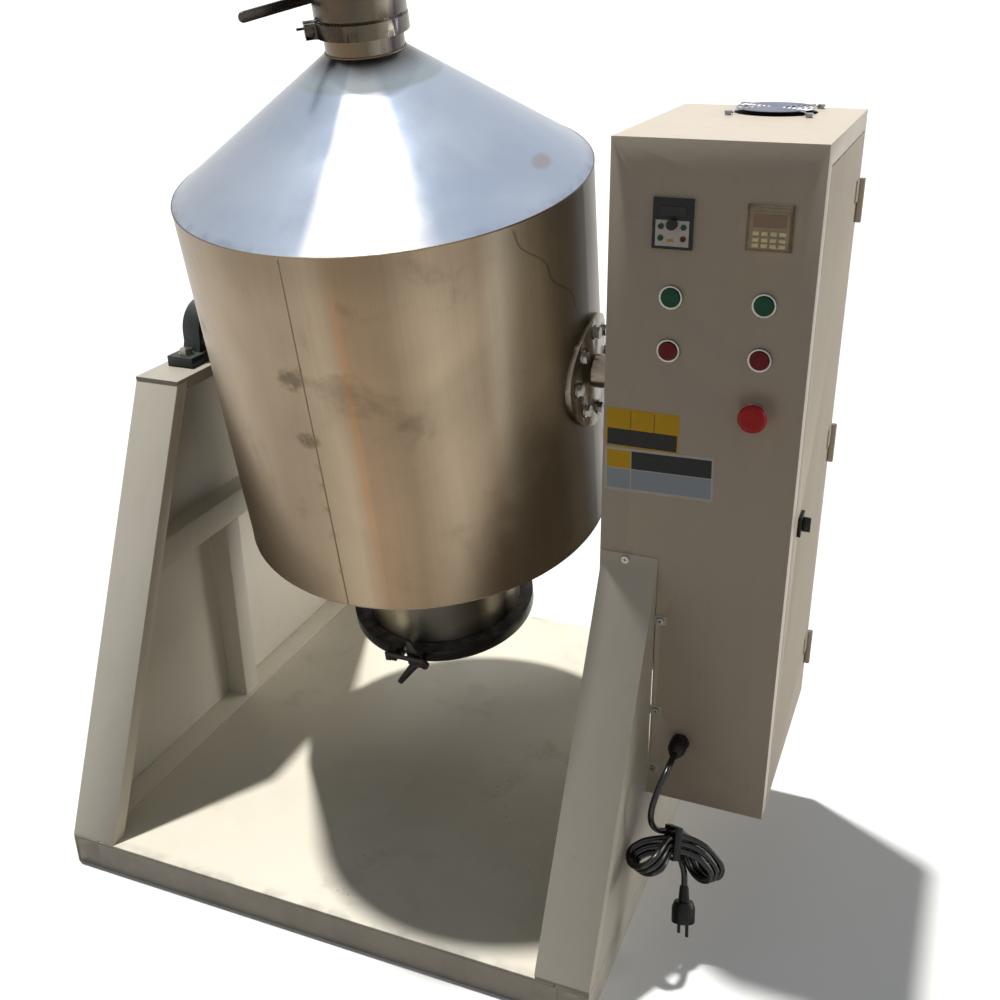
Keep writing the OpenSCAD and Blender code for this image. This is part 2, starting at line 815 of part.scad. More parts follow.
module pillow_blocks() color(dark_iron) at_bearings() {
  web_share = 0.62;
  web_half = foot_l / 2 * web_share;
  shoulder_share = 0.35;
  difference() {
    union() {
      translate([-foot_w / 2, -foot_l / 2, -bearing_h]) cube([foot_w, foot_l, foot_t]);
      axle(ring_r, ring_w);
      along_x(-ring_w / 2, ring_w) polygon([[-web_half, foot_t - bearing_h],
        [web_half, foot_t - bearing_h], [ring_r, -ring_r * shoulder_share], [ring_r, 0],
        [-ring_r, 0], [-ring_r, -ring_r * shoulder_share]]);
    }
    axle(insert_r, foot_w + 2 * over);
    for (k = [-1, 1]) translate([0, k * bolt_pitch / 2, -bearing_h - over])
      cylinder(r = bolt_r + hole_gap, h = foot_t + 2 * over);
  }
}

module bearing_races() color(steel) at_bearings() difference() {
  axle(insert_r, race_w);
  axle(inner_r + fit, race_w + 2 * over);
}

module bearing_bolts() color(zinc) at_bearing_bolts() {
  nut_low = cap_t + washer_t + bolt_r * head_h_share;
  translate([0, 0, foot_t]) hex_head(bolt_r);
  translate([0, 0, -nut_low]) cylinder(r = bolt_r, h = nut_low + foot_t);
  translate([0, 0, -cap_t]) mirror([0, 0, 1]) hex_head(bolt_r);
}

// The drum's own frame: the height along the drum's axis, with the shaft line as X
module in_drum() translate([drum_off, 0, shaft_z]) rotate([tilt, 0, 0]) children();

module drum_outline() {
  in_r = drum_r - drum_wall;
  neck_in = neck_r - drum_wall;
  collar_in = collar_r - drum_wall;
  polygon([
    [collar_in, -collar_end], [collar_flange_r, -collar_end], [collar_flange_r, -flange_s],
    [collar_r, -flange_s], [collar_r, -collar_s], [drum_r, -rim_down], [drum_r, rim_up],
    [neck_r, neck_s], [neck_r, neck_top], [ferrule_r, neck_top], [ferrule_r, ferrule_top],
    [neck_in, ferrule_top], [neck_in, cone_s(neck_in) - wall_drop],
    [in_r, cone_s(in_r) - wall_drop], [in_r, -low_s(in_r) + low_drop],
    [collar_in, -low_s(collar_in) + low_drop]]);
}

module drum_shell() color(steel) in_drum() {
  rotate_extrude($fn = 128) drum_outline();
  translate([0, 0, -hoop_top + seam]) difference() {
    union() {
      translate([0, hinge_reach, 0]) cylinder(r = lug_w, h = lug_h);
      translate([-lug_w, collar_r - drum_wall / 2, 0])
        cube([2 * lug_w, hinge_reach - collar_r + drum_wall / 2, lug_h]);
    }
    translate([0, 0, -over]) cylinder(r = collar_r - drum_wall / 2, h = lug_h + 2 * over);
  }
  translate([0, hinge_reach, -hoop_low - seam])
    cylinder(r = hinge_r, h = hoop_low - hoop_top + 2 * seam + lug_h / 2);
}

// Where a saddle bolt's washer rests, for a bolt at the height or depth y from the shaft line
function pad_face(y) = sqrt(pow(drum_r + pad_t, 2) - pow(abs(y) + pad_bolt_r * washer_share, 2));

module at_pad_bolts() {
  for (i = [0 : pad_bolts - 1]) {
    a = 360 * i / pad_bolts;
    y = pad_pcd / 2 * cos(a);
    z = pad_pcd / 2 * sin(a);
    translate([pad_face(y), y, z]) rotate([0, 90, 0]) children();
  }
}

module on_sides() {
  for (s = [0, 1]) mirror([s, 0, 0]) children();
}

module trunnion_hubs() color(steel) in_drum() on_sides() {
  tall = 2 * (pad_r + over);
  difference() {
    union() {
      intersection() {
        rotate([0, 90, 0]) cylinder(r = pad_r, h = drum_r + pad_t + over);
        translate([0, 0, -tall / 2]) cylinder(r = drum_r + pad_t, h = tall);
      }
      rotate([0, 90, 0]) cylinder(r = hub_r, h = drum_r + hub_h);
    }
    translate([0, 0, -tall]) cylinder(r = drum_r, h = 2 * tall);
    translate([drum_r + hub_h - hub_seat, 0, 0]) rotate([0, 90, 0])
      cylinder(r = shaft_r, h = hub_seat + over);
    at_pad_bolts() {
      cylinder(r = pad_bolt_r * washer_share + hole_gap, h = pad_t + over);
      translate([0, 0, -pad_shank]) cylinder(r = pad_bolt_r, h = pad_shank + over);
    }
  }
}

module trunnion_bolts() color(zinc) in_drum() on_sides() at_pad_bolts() {
  hex_head(pad_bolt_r);
  translate([0, 0, -pad_shank]) cylinder(r = pad_bolt_r, h = pad_shank + over);
}

module trunnion_shafts() color(steel) {
  x_right = drum_off + drum_r + hub_h - hub_seat;
  x_left = drum_off - drum_r - hub_h + hub_seat;
  translate([shaft_x0, 0, shaft_z]) rotate([0, 90, 0]) cylinder(r = shaft_r, h = x_left - shaft_x0);
  translate([x_right, 0, shaft_z]) rotate([0, 90, 0]) cylinder(r = shaft_r, h = shaft_x1 - x_right);
}

module bearing_inner_rings() color(steel) at_bearings() difference() {
  axle(inner_r, inner_w);
  axle(shaft_r, inner_w + 2 * over);
}

module neck_clamp() color(steel) in_drum() {
  s0 = neck_top - clamp_gap - band_lip;
  s1 = valve_s0 + clamp_gap + band_lip;
  band_in = ferrule_r + clamp_gap;
  lip_in = valve_waist_r + seam;
  split = 4;
  ear = 16;
  bolt_out = 10.4;
  bar_in = bolt_out - band_t - seam;
  difference() {
    union() {
      rotate_extrude() polygon([[band_in, s0 + band_lip], [lip_in, s0 + band_lip], [lip_in, s0],
        [band_in + band_t, s0], [band_in + band_t, s1], [lip_in, s1], [lip_in, s1 - band_lip],
        [band_in, s1 - band_lip]]);
      rotate(clamp_az) translate([band_in + seam, -lug_w, s0]) cube([ear, 2 * lug_w, s1 - s0]);
    }
    rotate(clamp_az) translate([valve_bore, -split / 2, s0 - over])
      cube([band_in, split, s1 - s0 + 2 * over]);
  }
  rotate(clamp_az) translate([band_in + bolt_out, 0, (s0 + s1) / 2]) rotate([90, 0, 0]) {
    translate([0, 0, -lug_w - band_t]) cylinder(r = band_t, h = 2 * lug_w + 3 * band_t);
    translate([0, 0, lug_w]) cylinder(r = 2 * band_t, h = 2 * band_t);
    translate([-bar_in, -band_t / 2, lug_w + band_t / 2]) cube([bar_in + ear, band_t, band_t]);
    translate([0, 0, -lug_w - band_t]) cylinder(r = 2 * band_t, h = band_t);
  }
}

module valve_body() color(steel) in_drum() {
  difference() {
    union() {
      rotate_extrude() polygon([[0, ferrule_top], [ferrule_r, ferrule_top], [ferrule_r, valve_s0],
        [valve_waist_r, valve_s0], [valve_waist_r, valve_s1], [valve_r, valve_s1],
        [valve_r, valve_s2], [valve_waist_r, valve_s2], [valve_waist_r, valve_s3],
        [ferrule_r, valve_s3], [ferrule_r, valve_top], [0, valve_top]]);
      rotate(stem_az) translate([0, 0, disc_s]) rotate([0, 90, 0])
        cylinder(r = boss_r, h = boss_reach);
    }
    translate([0, 0, ferrule_top - over]) cylinder(r = valve_bore, h = valve_top);
    rotate(stem_az) translate([-valve_bore - waist_len, 0, disc_s]) rotate([0, 90, 0])
      cylinder(r = stem_r + fit, h = 2 * boss_reach);
  }
}

module valve_disc() color(steel) in_drum() rotate(stem_az) {
  translate([0, 0, disc_s - disc_t / 2]) cylinder(r = valve_bore - disc_gap, h = disc_t);
  translate([-valve_bore - waist_len + disc_gap, 0, disc_s]) rotate([0, 90, 0])
    cylinder(r = stem_r, h = valve_bore + waist_len - disc_gap + boss_reach + seam);
}

module valve_handle() color(steel) in_drum() rotate(stem_az)
  translate([boss_reach + seam, 0, disc_s]) rotate([0, 90, 0]) {
    cylinder(r = handle_w / 2, h = handle_t);
    translate([-handle_w / 2, 0, 0]) cube([handle_w, handle_len, handle_t]);
    translate([0, handle_len, 0]) cylinder(r = handle_w / 2, h = handle_t);
  }

module feed_lid() color(steel) in_drum() {
  low = lid_s + lid_t + lid_dish;
  knee_r_share = 0.86;
  knee_s_share = 0.78;
  knee_r = lid_dish_r * knee_r_share;
  knee_s = lid_s + lid_dish * knee_s_share;
  rotate_extrude($fn = 128) polygon([[0, -low], [knee_r, -knee_s - lid_t],
    [lid_dish_r, -lid_low], [collar_flange_r, -lid_low], [collar_flange_r, -lid_s],
    [lid_dish_r - lid_t, -lid_s], [knee_r - lid_t, -knee_s], [0, -low + lid_t]]);
}

module lid_gasket() color(black) in_drum() translate([0, 0, -lid_s]) difference() {
  cylinder(r = gasket_out, h = gasket_t);
  translate([0, 0, -over]) cylinder(r = gasket_in, h = gasket_t + 2 * over);
}

// The hoop's section: a web with a lip over the collar's flange and one under the lid
module hoop_section() polygon([
  [hoop_r, -hoop_low], [hoop_r, -hoop_top], [hoop_in, -hoop_top], [hoop_in, -hoop_top - hoop_t],
  [hoop_r - hoop_t, -hoop_top - hoop_t], [hoop_r - hoop_t, -hoop_low + hoop_t],
  [hoop_lip_in, -hoop_low + hoop_t], [hoop_lip_in, -hoop_low]]);

// A half of the hoop on one side, from its split over an angle, with its knuckle's lower end at s
module hoop_half(side, s) {
  arm_w = 10;
  from = side > 0 ? split_front - 90 : 90 + split_rear;
  sweep = 180 - split_rear - split_front;
  difference() {
    union() {
      rotate(from) rotate_extrude(angle = sweep, $fn = 128) hoop_section();
      translate([0, hinge_reach, s]) cylinder(r = knuckle_r, h = knuckle_h);
      translate([side > 0 ? hinge_r : -hinge_r - arm_w, hoop_r - hoop_t / 2, s])
        cube([arm_w, hinge_reach - hoop_r + hoop_t / 2, knuckle_h]);
    }
    translate([0, hinge_reach, s - over]) cylinder(r = hinge_r + fit, h = knuckle_h + 2 * over);
  }
}

// A flat latch piece drawn in the front view, from the depth y towards the viewer
module front_plate(y, t) translate([0, -y, 0]) rotate([90, 0, 0]) linear_extrude(t) children();

module hoop_left() color(black) in_drum() {
  hoop_half(-1, -hoop_top - knuckle_h);
  translate([-stud_x - knuckle_r, -lug_y - lug_t, -hoop_low])
    cube([2 * knuckle_r, lug_y + lug_t - hoop_r + hoop_t / 2, hoop_low - hoop_top]);
  translate([-stud_x, -lug_y, -stud_s]) rotate([90, 0, 0])
    cylinder(r = hinge_r, h = link_y + link_t - lug_y + seam);
}

module hoop_right() color(black) in_drum() {
  root = [8, 26];
  plate_top = 52;
  apex = [10, 18];
  hoop_half(1, -hoop_low);
  translate([root[0], -lug_y, -hoop_low])
    cube([root[1] - root[0] + knuckle_r, lug_y - hoop_r + hoop_t / 2, hoop_low - hoop_top]);
  front_plate(lug_y, lug_t) polygon([[root[0], -hoop_low], [root[1] + knuckle_r, -hoop_low],
    [root[1] + knuckle_r, -hoop_top], [apex[1], plate_top - hoop_low],
    [apex[0], plate_top - hoop_low], [root[0], -hoop_top]]);
  translate([pivot_x, -lug_y, -pivot_s]) rotate([90, 0, 0])
    cylinder(r = hinge_r, h = lug_t + stack_gap + latch_t);
}

module latch_lever() color(black) in_drum() {
  difference() {
    front_plate(lever_y, latch_t) {
      bar_2d([pivot_x, -pivot_s], crank_pin, eye_r, eye_r);
      bar_2d([pivot_x, -pivot_s], lever_tip, eye_r, arm_r);
    }
    translate([pivot_x, -lever_y + over, -pivot_s]) rotate([90, 0, 0])
      cylinder(r = hinge_r + fit, h = latch_t + 2 * over);
  }
  translate([crank_pin[0], -lever_y, crank_pin[1]]) rotate([90, 0, 0])
    cylinder(r = hinge_r, h = latch_t + stack_gap + link_t + seam);
}

module draw_link() color(black) in_drum() difference() {
  reach = crank_pin[0] + stud_x;
  front_plate(link_y, link_t) {
    translate(crank_pin) circle(eye_r);
    translate([-stud_x - hinge_r - free_gap - hook_w, -stud_s + link_up])
      square([reach + hinge_r + free_gap + hook_w, link_h]);
    translate([-stud_x - hinge_r - free_gap - hook_w, -stud_s - hook_drop])
      square([hook_w, hook_drop + link_up + link_h / 2]);
  }
  translate([crank_pin[0], -link_y + over, crank_pin[1]]) rotate([90, 0, 0])
    cylinder(r = hinge_r + fit, h = link_t + 2 * over);
}

module drive_plate() color(paint) along_x(drive_x, drive_t) difference() {
  z1 = drive_z + drive_foot_h;
  z2 = shaft_z + drive_up;
  polygon([[-drive_foot, drive_z], [drive_foot, drive_z], [drive_foot, z1], [drive_top, z2],
    [-drive_top, z2], [-drive_foot, z1]]);
  translate([0, shaft_z]) circle(drive_hole_r);
  for (a = [0 : 90 : 270]) translate([gear_pcd / 2 * cos(a), shaft_z + gear_pcd / 2 * sin(a)])
    circle(gear_bolt_r + hole_gap);
}

module on_shaft(x) translate([x, 0, shaft_z]) rotate([0, 90, 0]) children();

module gearbox() color(steel) difference() {
  union() {
    on_shaft(gear_x) cylinder(r = gear_flange_r, h = gear_flange_t);
    on_shaft(gear_x) cylinder(r = wheel_case_r, h = case_x1 - gear_x);
    on_shaft(gear_x) cylinder(r = out_hub_r, h = case_x1 + out_hub_len - gear_x);
    translate([worm_x, -worm_y, shaft_z - worm_h / 2]) cylinder(r = worm_r, h = worm_h);
    translate([worm_x - worm_r, -worm_y, shaft_z - worm_r]) cube([2 * worm_r, worm_y, 2 * worm_r]);
  }
  on_shaft(gear_x - over) cylinder(r = hollow_r, h = case_x1 + out_hub_len - gear_x + 2 * over);
  for (a = [0 : 90 : 270]) on_shaft(gear_x - over)
    translate([gear_pcd / 2 * cos(a), gear_pcd / 2 * sin(a), 0])
      cylinder(r = gear_bolt_r, h = gear_flange_t + 2 * over);
}

module drive_bolts() color(zinc) on_shaft(drive_x) {
  for (a = [0 : 90 : 270]) translate([gear_pcd / 2 * cos(a), gear_pcd / 2 * sin(a), 0]) {
    mirror([0, 0, 1]) hex_head(gear_bolt_r);
    cylinder(r = gear_bolt_r, h = drive_t + gear_flange_t);
  }
}

module motor() color(steel) translate([worm_x, -worm_y, 0]) {
  box = [46, 60, 74];
  body_top = motor_top - motor_flange_t;
  translate([0, 0, body_top]) cylinder(r = motor_flange_r, h = motor_flange_t);
  translate([0, 0, motor_low]) cylinder(r = motor_r, h = motor_len);
  for (i = [0 : fin_count - 1]) rotate(360 * i / fin_count)
    translate([motor_r - seam, -fin_t / 2, motor_low + seam])
      cube([fin_r - motor_r + seam, fin_t, motor_len - 2 * seam]);
  translate([-box[0] / 2, motor_r * cos(30), body_top - box[2] - motor_flange_t]) cube(box);
}

module motor_cowl() color(steel) translate([worm_x, -worm_y, motor_low - cowl_len]) difference() {
  slots = 12;
  slot_w = 6;
  slot_in = 14;
  slot_out = 56;
  cylinder(r = fin_r, h = cowl_len);
  translate([0, 0, cowl_wall]) cylinder(r = fin_r - cowl_wall, h = cowl_len);
  for (i = [0 : slots - 1]) rotate(360 * i / slots)
    translate([i % 2 == 0 ? slot_in : 2 * slot_in, -slot_w / 2, -over])
      cube([slot_out - (i % 2 == 0 ? slot_in : 2 * slot_in), slot_w, cowl_wall + 2 * over]);
}

// The openings for what sits in the cabinet's front
module device_holes() {
  deep = 2 * over;
  on_front(inv_x, panel_z) translate([-inv_w / 2 + body_in, -inv_h / 2 + body_in, -deep])
    cube([inv_w - 2 * body_in, inv_h - 2 * body_in, deep + over]);
  on_front(timer_x, panel_z) translate([-timer_w / 2 + 2 * body_in, -timer_h / 2 + body_in, -deep])
    cube([timer_w - 4 * body_in, timer_h - 2 * body_in, deep + over]);
  for (p = concat(button_places, [[right_x, stop_z]])) on_front(p[0], p[1])
    translate([0, 0, -deep]) cylinder(r = tube_r, h = deep + over);
  on_front(gland_x, gland_z) translate([0, 0, -deep]) cylinder(r = gland_thread_r, h = deep + over);
}

module cabinet_shell() color(paint) {
  notch_x = half_len - leg_w;
  notch_w = leg_w + notch_gap;
  ring_y = door_y1 - door_y0 + 2 * cab_wall;
  ring_z = door_z1 - door_z0 + 2 * cab_wall;
  difference() {
    union() {
      difference() {
        translate([cab_x0, cab_y0, cab_z0]) cube([cab_len, cab_depth, cab_h]);
        translate([cab_x0 + cab_wall, cab_y0 + cab_wall, cab_z0 + cab_wall])
          cube([cab_len - 2 * cab_wall, cab_depth - 2 * cab_wall, cab_h - 2 * cab_wall]);
      }
      translate([cab_x1 - return_d, door_y0 - cab_wall, door_z0 - cab_wall])
        cube([return_d, ring_y, ring_z]);
    }
    translate([cab_x1 - return_d - over, door_y0, door_z0])
      cube([return_d + 2 * over, door_y1 - door_y0, door_z1 - door_z0]);
    translate([notch_x, cab_y0 - over, cab_z0 - over])
      cube([notch_w, cab_wall + over, cover_z[0] + notch_over - cab_z0 + over]);
    translate([notch_x, cab_y1 - cab_wall, cab_z0 - over])
      cube([notch_w, cab_wall + over, cover_z[1] + notch_over - cab_z0 + over]);
    translate([notch_x, cab_y0 - over, cab_z0 - over])
      cube([notch_w, cab_depth + 2 * over, cab_wall + over]);
    on_shaft(cab_x0 - over) cylinder(r = shaft_hole_r, h = cab_wall + 2 * over);
    translate([fan_x, fan_y, cab_z1 - cab_wall - over]) cylinder(r = duct_r, h = cab_wall + 2 * over);
    device_holes();
    screw_holes();
  }
}

// A hinge leaf's barrel between two heights, with a plate from the pin's line over a width
module leaf(z0, h, plate_w) {
  translate([door_axis_x, door_axis_y, z0]) cylinder(r = barrel_r, h = h);
  translate([cab_x1, plate_w < 0 ? door_axis_y + plate_w : door_axis_y, z0])
    cube([sheet_t, abs(plate_w), h]);
}

module hinge_leaves() color(zinc) for (z = hinge_zs) {
  fixed_w = cab_y1 - door_axis_y - seam;
  leaf(z - hinge_len / 2, hinge_len / 2 - free_gap, fixed_w);
  translate([door_axis_x, door_axis_y, z - hinge_len / 2]) cylinder(r = barrel_pin_r, h = hinge_len);
}

module cabinet_door() color(cream) {
  y0 = door_y0 + door_gap;
  y1 = door_y1 - door_gap;
  z0 = door_z0 + door_gap;
  leaf_w = 28;
  difference() {
    translate([cab_x1 - door_fold, y0, z0]) cube([door_fold, y1 - y0, door_h]);
    translate([cab_x1 - door_fold - over, y0 + door_t, z0 + door_t])
      cube([door_fold + over - door_t, y1 - y0 - 2 * door_t, door_h - 2 * door_t]);
    translate([cab_x1 - over, latch_y, latch_z]) rotate([0, 90, 0])
      cylinder(r = latch_spindle_r + fit, h = 2 * over);
  }
  for (z = hinge_zs) difference() {
    leaf(z, hinge_len / 2, -leaf_w);
    translate([door_axis_x, door_axis_y, z - over])
      cylinder(r = barrel_pin_r + fit, h = hinge_len / 2 + 2 * over);
  }
}

module door_latch() color(black) translate([cab_x1, latch_y, latch_z]) difference() {
  translate([0, -latch_w / 2, -latch_w / 2]) cube([latch_base_t, latch_w, latch_w]);
  translate([-over, 0, 0]) rotate([0, 90, 0])
    cylinder(r = latch_spindle_r + fit, h = latch_base_t + 2 * over);
}

module latch_cam() color(black) translate([0, latch_y, latch_z]) {
  cam_x = cab_x1 - return_d - cam_gap - cam_t;
  knob_x = cab_x1 + latch_base_t + free_gap;
  wing = 4;
  translate([cam_x, 0, 0]) rotate([0, 90, 0]) cylinder(r = latch_spindle_r, h = knob_x - cam_x);
  translate([knob_x, 0, 0]) rotate([0, 90, 0])
    cylinder(r = latch_knob_r, h = latch_proud - latch_base_t - free_gap);
  translate([knob_x, -wing / 2, -latch_knob_r])
    cube([latch_proud - latch_base_t + wing, wing, 2 * latch_knob_r]);
  translate([cam_x, -cam_w / 2, -cam_len]) cube([cam_t, cam_w, cam_len + cam_w / 2]);
}

module mounting_plate() color(zinc) {
  dy = plate_y[1] - plate_y[0];
  dz = plate_z[1] - plate_z[0];
  translate([plate_x, plate_y[0], plate_z[0]]) cube([plate_t, dy, dz]);
  translate([plate_x + plate_t, plate_y[0] + spacer_in, (plate_z[0] + plate_z[1] - rail_h) / 2])
    cube([rail_t, dy - 2 * spacer_in, rail_h]);
  for (y = [plate_y[0] + spacer_in, plate_y[1] - spacer_in])
    for (z = [plate_z[0] + spacer_in, plate_z[1] - spacer_in])
      translate([cab_x0 + cab_wall, y, z]) rotate([0, 90, 0])
        cylinder(r = spacer_r, h = plate_x - cab_x0 - cab_wall);
}

module contactors() color([0.85, 0.84, 0.8]) {
  x0 = plate_x + plate_t + rail_t;
  mid = (plate_z[0] + plate_z[1]) / 2;
  first_share = 0.8;
  body_share = 0.7;
  for (i = [0 : contactor_count - 1]) {
    y = (i - first_share) * contactor_pitch;
    translate([x0, y - contactor[1] / 2, mid - contactor[2] / 2])
      cube([contactor[0] * body_share, contactor[1], contactor[2]]);
    translate([x0, y - contactor[1] / 2, mid - contactor[2] / 4])
      cube([contactor[0], contactor[1], contactor[2] / 2]);
  }
}

module fan_frame() color(black) translate([fan_x, fan_y, fan_low]) {
  spokes = 4;
  spoke_w = 5;
  difference() {
    translate([-fan_w / 2, -fan_w / 2, 0]) cube([fan_w, fan_w, fan_d]);
    translate([0, 0, -over]) cylinder(r = duct_r, h = fan_d + 2 * over);
    for (x = [-1, 1], y = [-1, 1]) translate([x * fan_pitch / 2, y * fan_pitch / 2, -over])
      cylinder(r = screw_r, h = fan_d + 2 * over);
  }
  cylinder(r = fan_hub_r - seam, h = fan_hub_t);
  for (i = [0 : spokes - 1]) rotate(45 + 360 * i / spokes) translate([0, -spoke_w / 2, 0])
    cube([duct_r + seam, spoke_w, fan_hub_t]);
  cylinder(r = fan_pin_r, h = fan_pin_h);
}

module fan_rotor() color(black) translate([fan_x, fan_y, fan_low + fan_hub_t + seam]) difference() {
  rotor_h = 24;
  blade_t = 2;
  blade_tilt = 38;
  union() {
    cylinder(r = fan_hub_r, h = rotor_h);
    for (i = [0 : blade_count - 1]) rotate(360 * i / blade_count)
      translate([fan_hub_r - 2 * seam, 0, rotor_h / 2]) rotate([blade_tilt, 0, 0])
        translate([0, -rotor_h / 2, -blade_t / 2])
          cube([duct_r - fan_hub_r - 3 * seam, rotor_h, blade_t]);
  }
  translate([0, 0, -over]) cylinder(r = fan_pin_r + fit, h = fan_pin_h + over);
}

module wire_ring(r) rotate_extrude() translate([r, 0]) circle(wire_r, $fn = 8);

module wire(len) cylinder(r = wire_r, h = len, $fn = 8);

module fan_guard() color([0.8, 0.8, 0.82]) translate([fan_x, fan_y, cab_z1]) {
  r_in = 12;
  ring_in = 4;
  r_out = duct_r - ring_in;
  foot = fan_pitch / 2 * sqrt(2);
  loop_r = screw_r + wire_r + hole_gap;
  knee_share = 2.6;
  knee = foot - knee_share * loop_r;
  drop = guard_up - wire_r;
  run = foot - loop_r - knee;
  lean = atan2(run, drop);
  for (i = [0 : guard_rings - 1]) translate([0, 0, guard_up])
    wire_ring(r_in + (r_out - r_in) * i / (guard_rings - 1));
  translate([0, 0, guard_up - wire_r]) cylinder(r = r_in, h = wire_r);
  for (i = [0 : 3]) rotate(45 + 90 * i) {
    translate([0, 0, guard_up - wire_r / 2]) rotate([0, 90, 0]) wire(knee);
    translate([knee - wire_r / 2, 0, guard_up]) rotate([0, 180 - lean, 0]) wire(norm([run, drop]));
    translate([foot, 0, wire_r]) wire_ring(loop_r);
  }
}

module inverter() color(black) on_front(inv_x, panel_z) difference() {
  union() {
    translate([-inv_w / 2, -inv_h / 2, 0]) cube([inv_w, inv_h, face_t]);
    translate([-inv_w / 2 + body_in, -inv_h / 2 + body_in, -inv_body])
      cube([inv_w - 2 * body_in, inv_h - 2 * body_in, inv_body + face_t / 2]);
    translate([0, 0, face_t - seam]) cylinder(r = knob_pin_r, h = knob_pin_h + seam);
  }
}

module inverter_knob() color(black) on_front(inv_x, panel_z) translate([0, 0, face_t + free_gap])
  difference() {
    cylinder(r = knob_r, h = knob_h);
    translate([0, 0, -over]) cylinder(r = knob_pin_r + fit, h = over + knob_pin_h);
  }

module timer() color([0.45, 0.42, 0.38]) on_front(timer_x, panel_z) {
  ear_t = 2;
  pin_y = timer_h / 2 + cover_barrel_r;
  translate([-timer_w / 2, -timer_h / 2, 0]) cube([timer_w, timer_h, face_t - seam]);
  translate([-timer_w / 2 + 2 * body_in, -timer_h / 2 + body_in, -timer_body])
    cube([timer_w - 4 * body_in, timer_h - 2 * body_in, timer_body + face_t / 2]);
  for (x = [-timer_w / 2, timer_w / 2 - ear_t])
    translate([x, timer_h / 2 - cover_barrel_r, 0])
      cube([ear_t, 3 * cover_barrel_r, face_t + cover_barrel_r / 2]);
  translate([-timer_w / 2 + ear_t / 2, pin_y, face_t - seam]) rotate([0, 90, 0])
    cylinder(r = cover_pin_r, h = timer_w - ear_t);
}

module timer_cover() color([0.8, 0.8, 0.76, 0.5]) on_front(timer_x, panel_z) {
  side_in = 2.5;
  half_w = timer_w / 2 - side_in;
  z0 = face_t - seam + free_gap;
  pin_y = timer_h / 2 + cover_barrel_r;
  y1 = timer_h / 2 - cover_barrel_r;
  y0 = -timer_h / 2 + cover_barrel_r;
  difference() {
    union() {
      translate([-half_w, y0, z0]) cube([2 * half_w, y1 - y0, cover_d]);
      translate([-half_w, y1 - seam, face_t - seam + cover_barrel_r - cover_t])
        cube([2 * half_w, pin_y - y1 + seam, cover_t]);
      translate([-half_w, pin_y, face_t - seam]) rotate([0, 90, 0])
        cylinder(r = cover_barrel_r, h = 2 * half_w);
    }
    translate([-half_w + cover_t, y0 + cover_t, z0 - over])
      cube([2 * (half_w - cover_t), y1 - y0 - 2 * cover_t, over + cover_d - cover_t]);
    translate([-half_w - over, pin_y, face_t - seam]) rotate([0, 90, 0])
      cylinder(r = cover_pin_r + fit, h = 2 * (half_w + over));
  }
}

module button_bezels() color([0.8, 0.8, 0.82]) for (p = button_places) on_front(p[0], p[1])
  difference() {
    union() {
      cylinder(r = bezel_r, h = bezel_h);
      translate([0, 0, -tube_len]) cylinder(r = tube_r, h = tube_len + seam);
    }
    translate([0, 0, recess_z]) cylinder(r = cap_r + free_gap, h = bezel_h + over);
    translate([0, 0, -tube_len - over]) cylinder(r = plunger_r + fit, h = tube_len + 2 * over);
  }

module contact_blocks() color([0.75, 0.72, 0.66]) for (p = concat(button_places, [[right_x, stop_z]]))
  on_front(p[0], p[1]) translate([-block_w / 2, -block_w / 2, -tube_len - block_d])
    cube([block_w, block_w, block_d]);

// A push button's cap with its plunger, at a place on the front
module button(p) on_front(p[0], p[1]) {
  back = recess_z + press + free_gap;
  translate([0, 0, back]) cylinder(r = cap_r, h = cap_up - back);
  translate([0, 0, plunger_end - tube_len]) cylinder(r = plunger_r, h = back + tube_len - plunger_end);
}

module green_button_left() color([0.02, 0.35, 0.2]) button(button_places[0]);
module green_button_right() color([0.02, 0.35, 0.2]) button(button_places[1]);
module red_button_left() color([0.5, 0.05, 0.08]) button(button_places[2]);
module red_button_right() color([0.5, 0.05, 0.08]) button(button_places[3]);

head_z = 12;
stem_neck_r = 4.8;

module estop_collar() color([0.8, 0.8, 0.82]) on_front(right_x, stop_z) difference() {
  union() {
    cylinder(r = bezel_r, h = bezel_h);
    translate([0, 0, -tube_len]) cylinder(r = tube_r, h = tube_len + seam);
  }
  translate([0, 0, -tube_len - over]) cylinder(r = plunger_r + fit, h = tube_len + bezel_h + 2 * over);
}

module estop_stem() color(black) on_front(right_x, stop_z) {
  translate([0, 0, stop_press + seam - tube_len])
    cylinder(r = plunger_r, h = head_z + tube_len - stop_press - seam);
  cylinder(r = stem_neck_r, h = head_z + (mushroom_up - head_z) / 2);
}

module estop_head() color([0.85, 0.1, 0.1]) on_front(right_x, stop_z)
  translate([0, 0, head_z + free_gap / 2]) difference() {
    h = mushroom_up - head_z - free_gap / 2;
    bore_share = 0.6;
    head_shares = [[0.55, 0], [1, 0.3], [1, 0.62], [0.92, 0.82], [0.7, 1]];
    head_edge = [for (k = head_shares) [mushroom_r * k[0], h * k[1]]];
    rotate_extrude() polygon(concat([[0, 0]], head_edge, [[0, h]]));
    translate([0, 0, -over]) cylinder(r = stem_neck_r + fit, h = over + h * bore_share);
  }

module cable_gland() color(black) on_front(gland_x, gland_z) {
  nut_h = 9;
  dome_h = 22;
  nut_share = 1.4;
  dome_share = 0.9;
  nose_share = 0.5;
  translate([0, 0, -nut_h - cab_wall]) cylinder(r = gland_thread_r * nut_share, h = nut_h, $fn = 6);
  translate([0, 0, -nut_h - cab_wall - seam])
    cylinder(r = gland_thread_r, h = nut_h + cab_wall + 2 * seam);
  cylinder(r = gland_r, h = nut_h, $fn = 6);
  rotate_extrude() polygon([[0, 0], [gland_r * dome_share, 0], [gland_r * dome_share, dome_h],
    [gland_r * nose_share, gland_nose], [0, gland_nose]]);
}

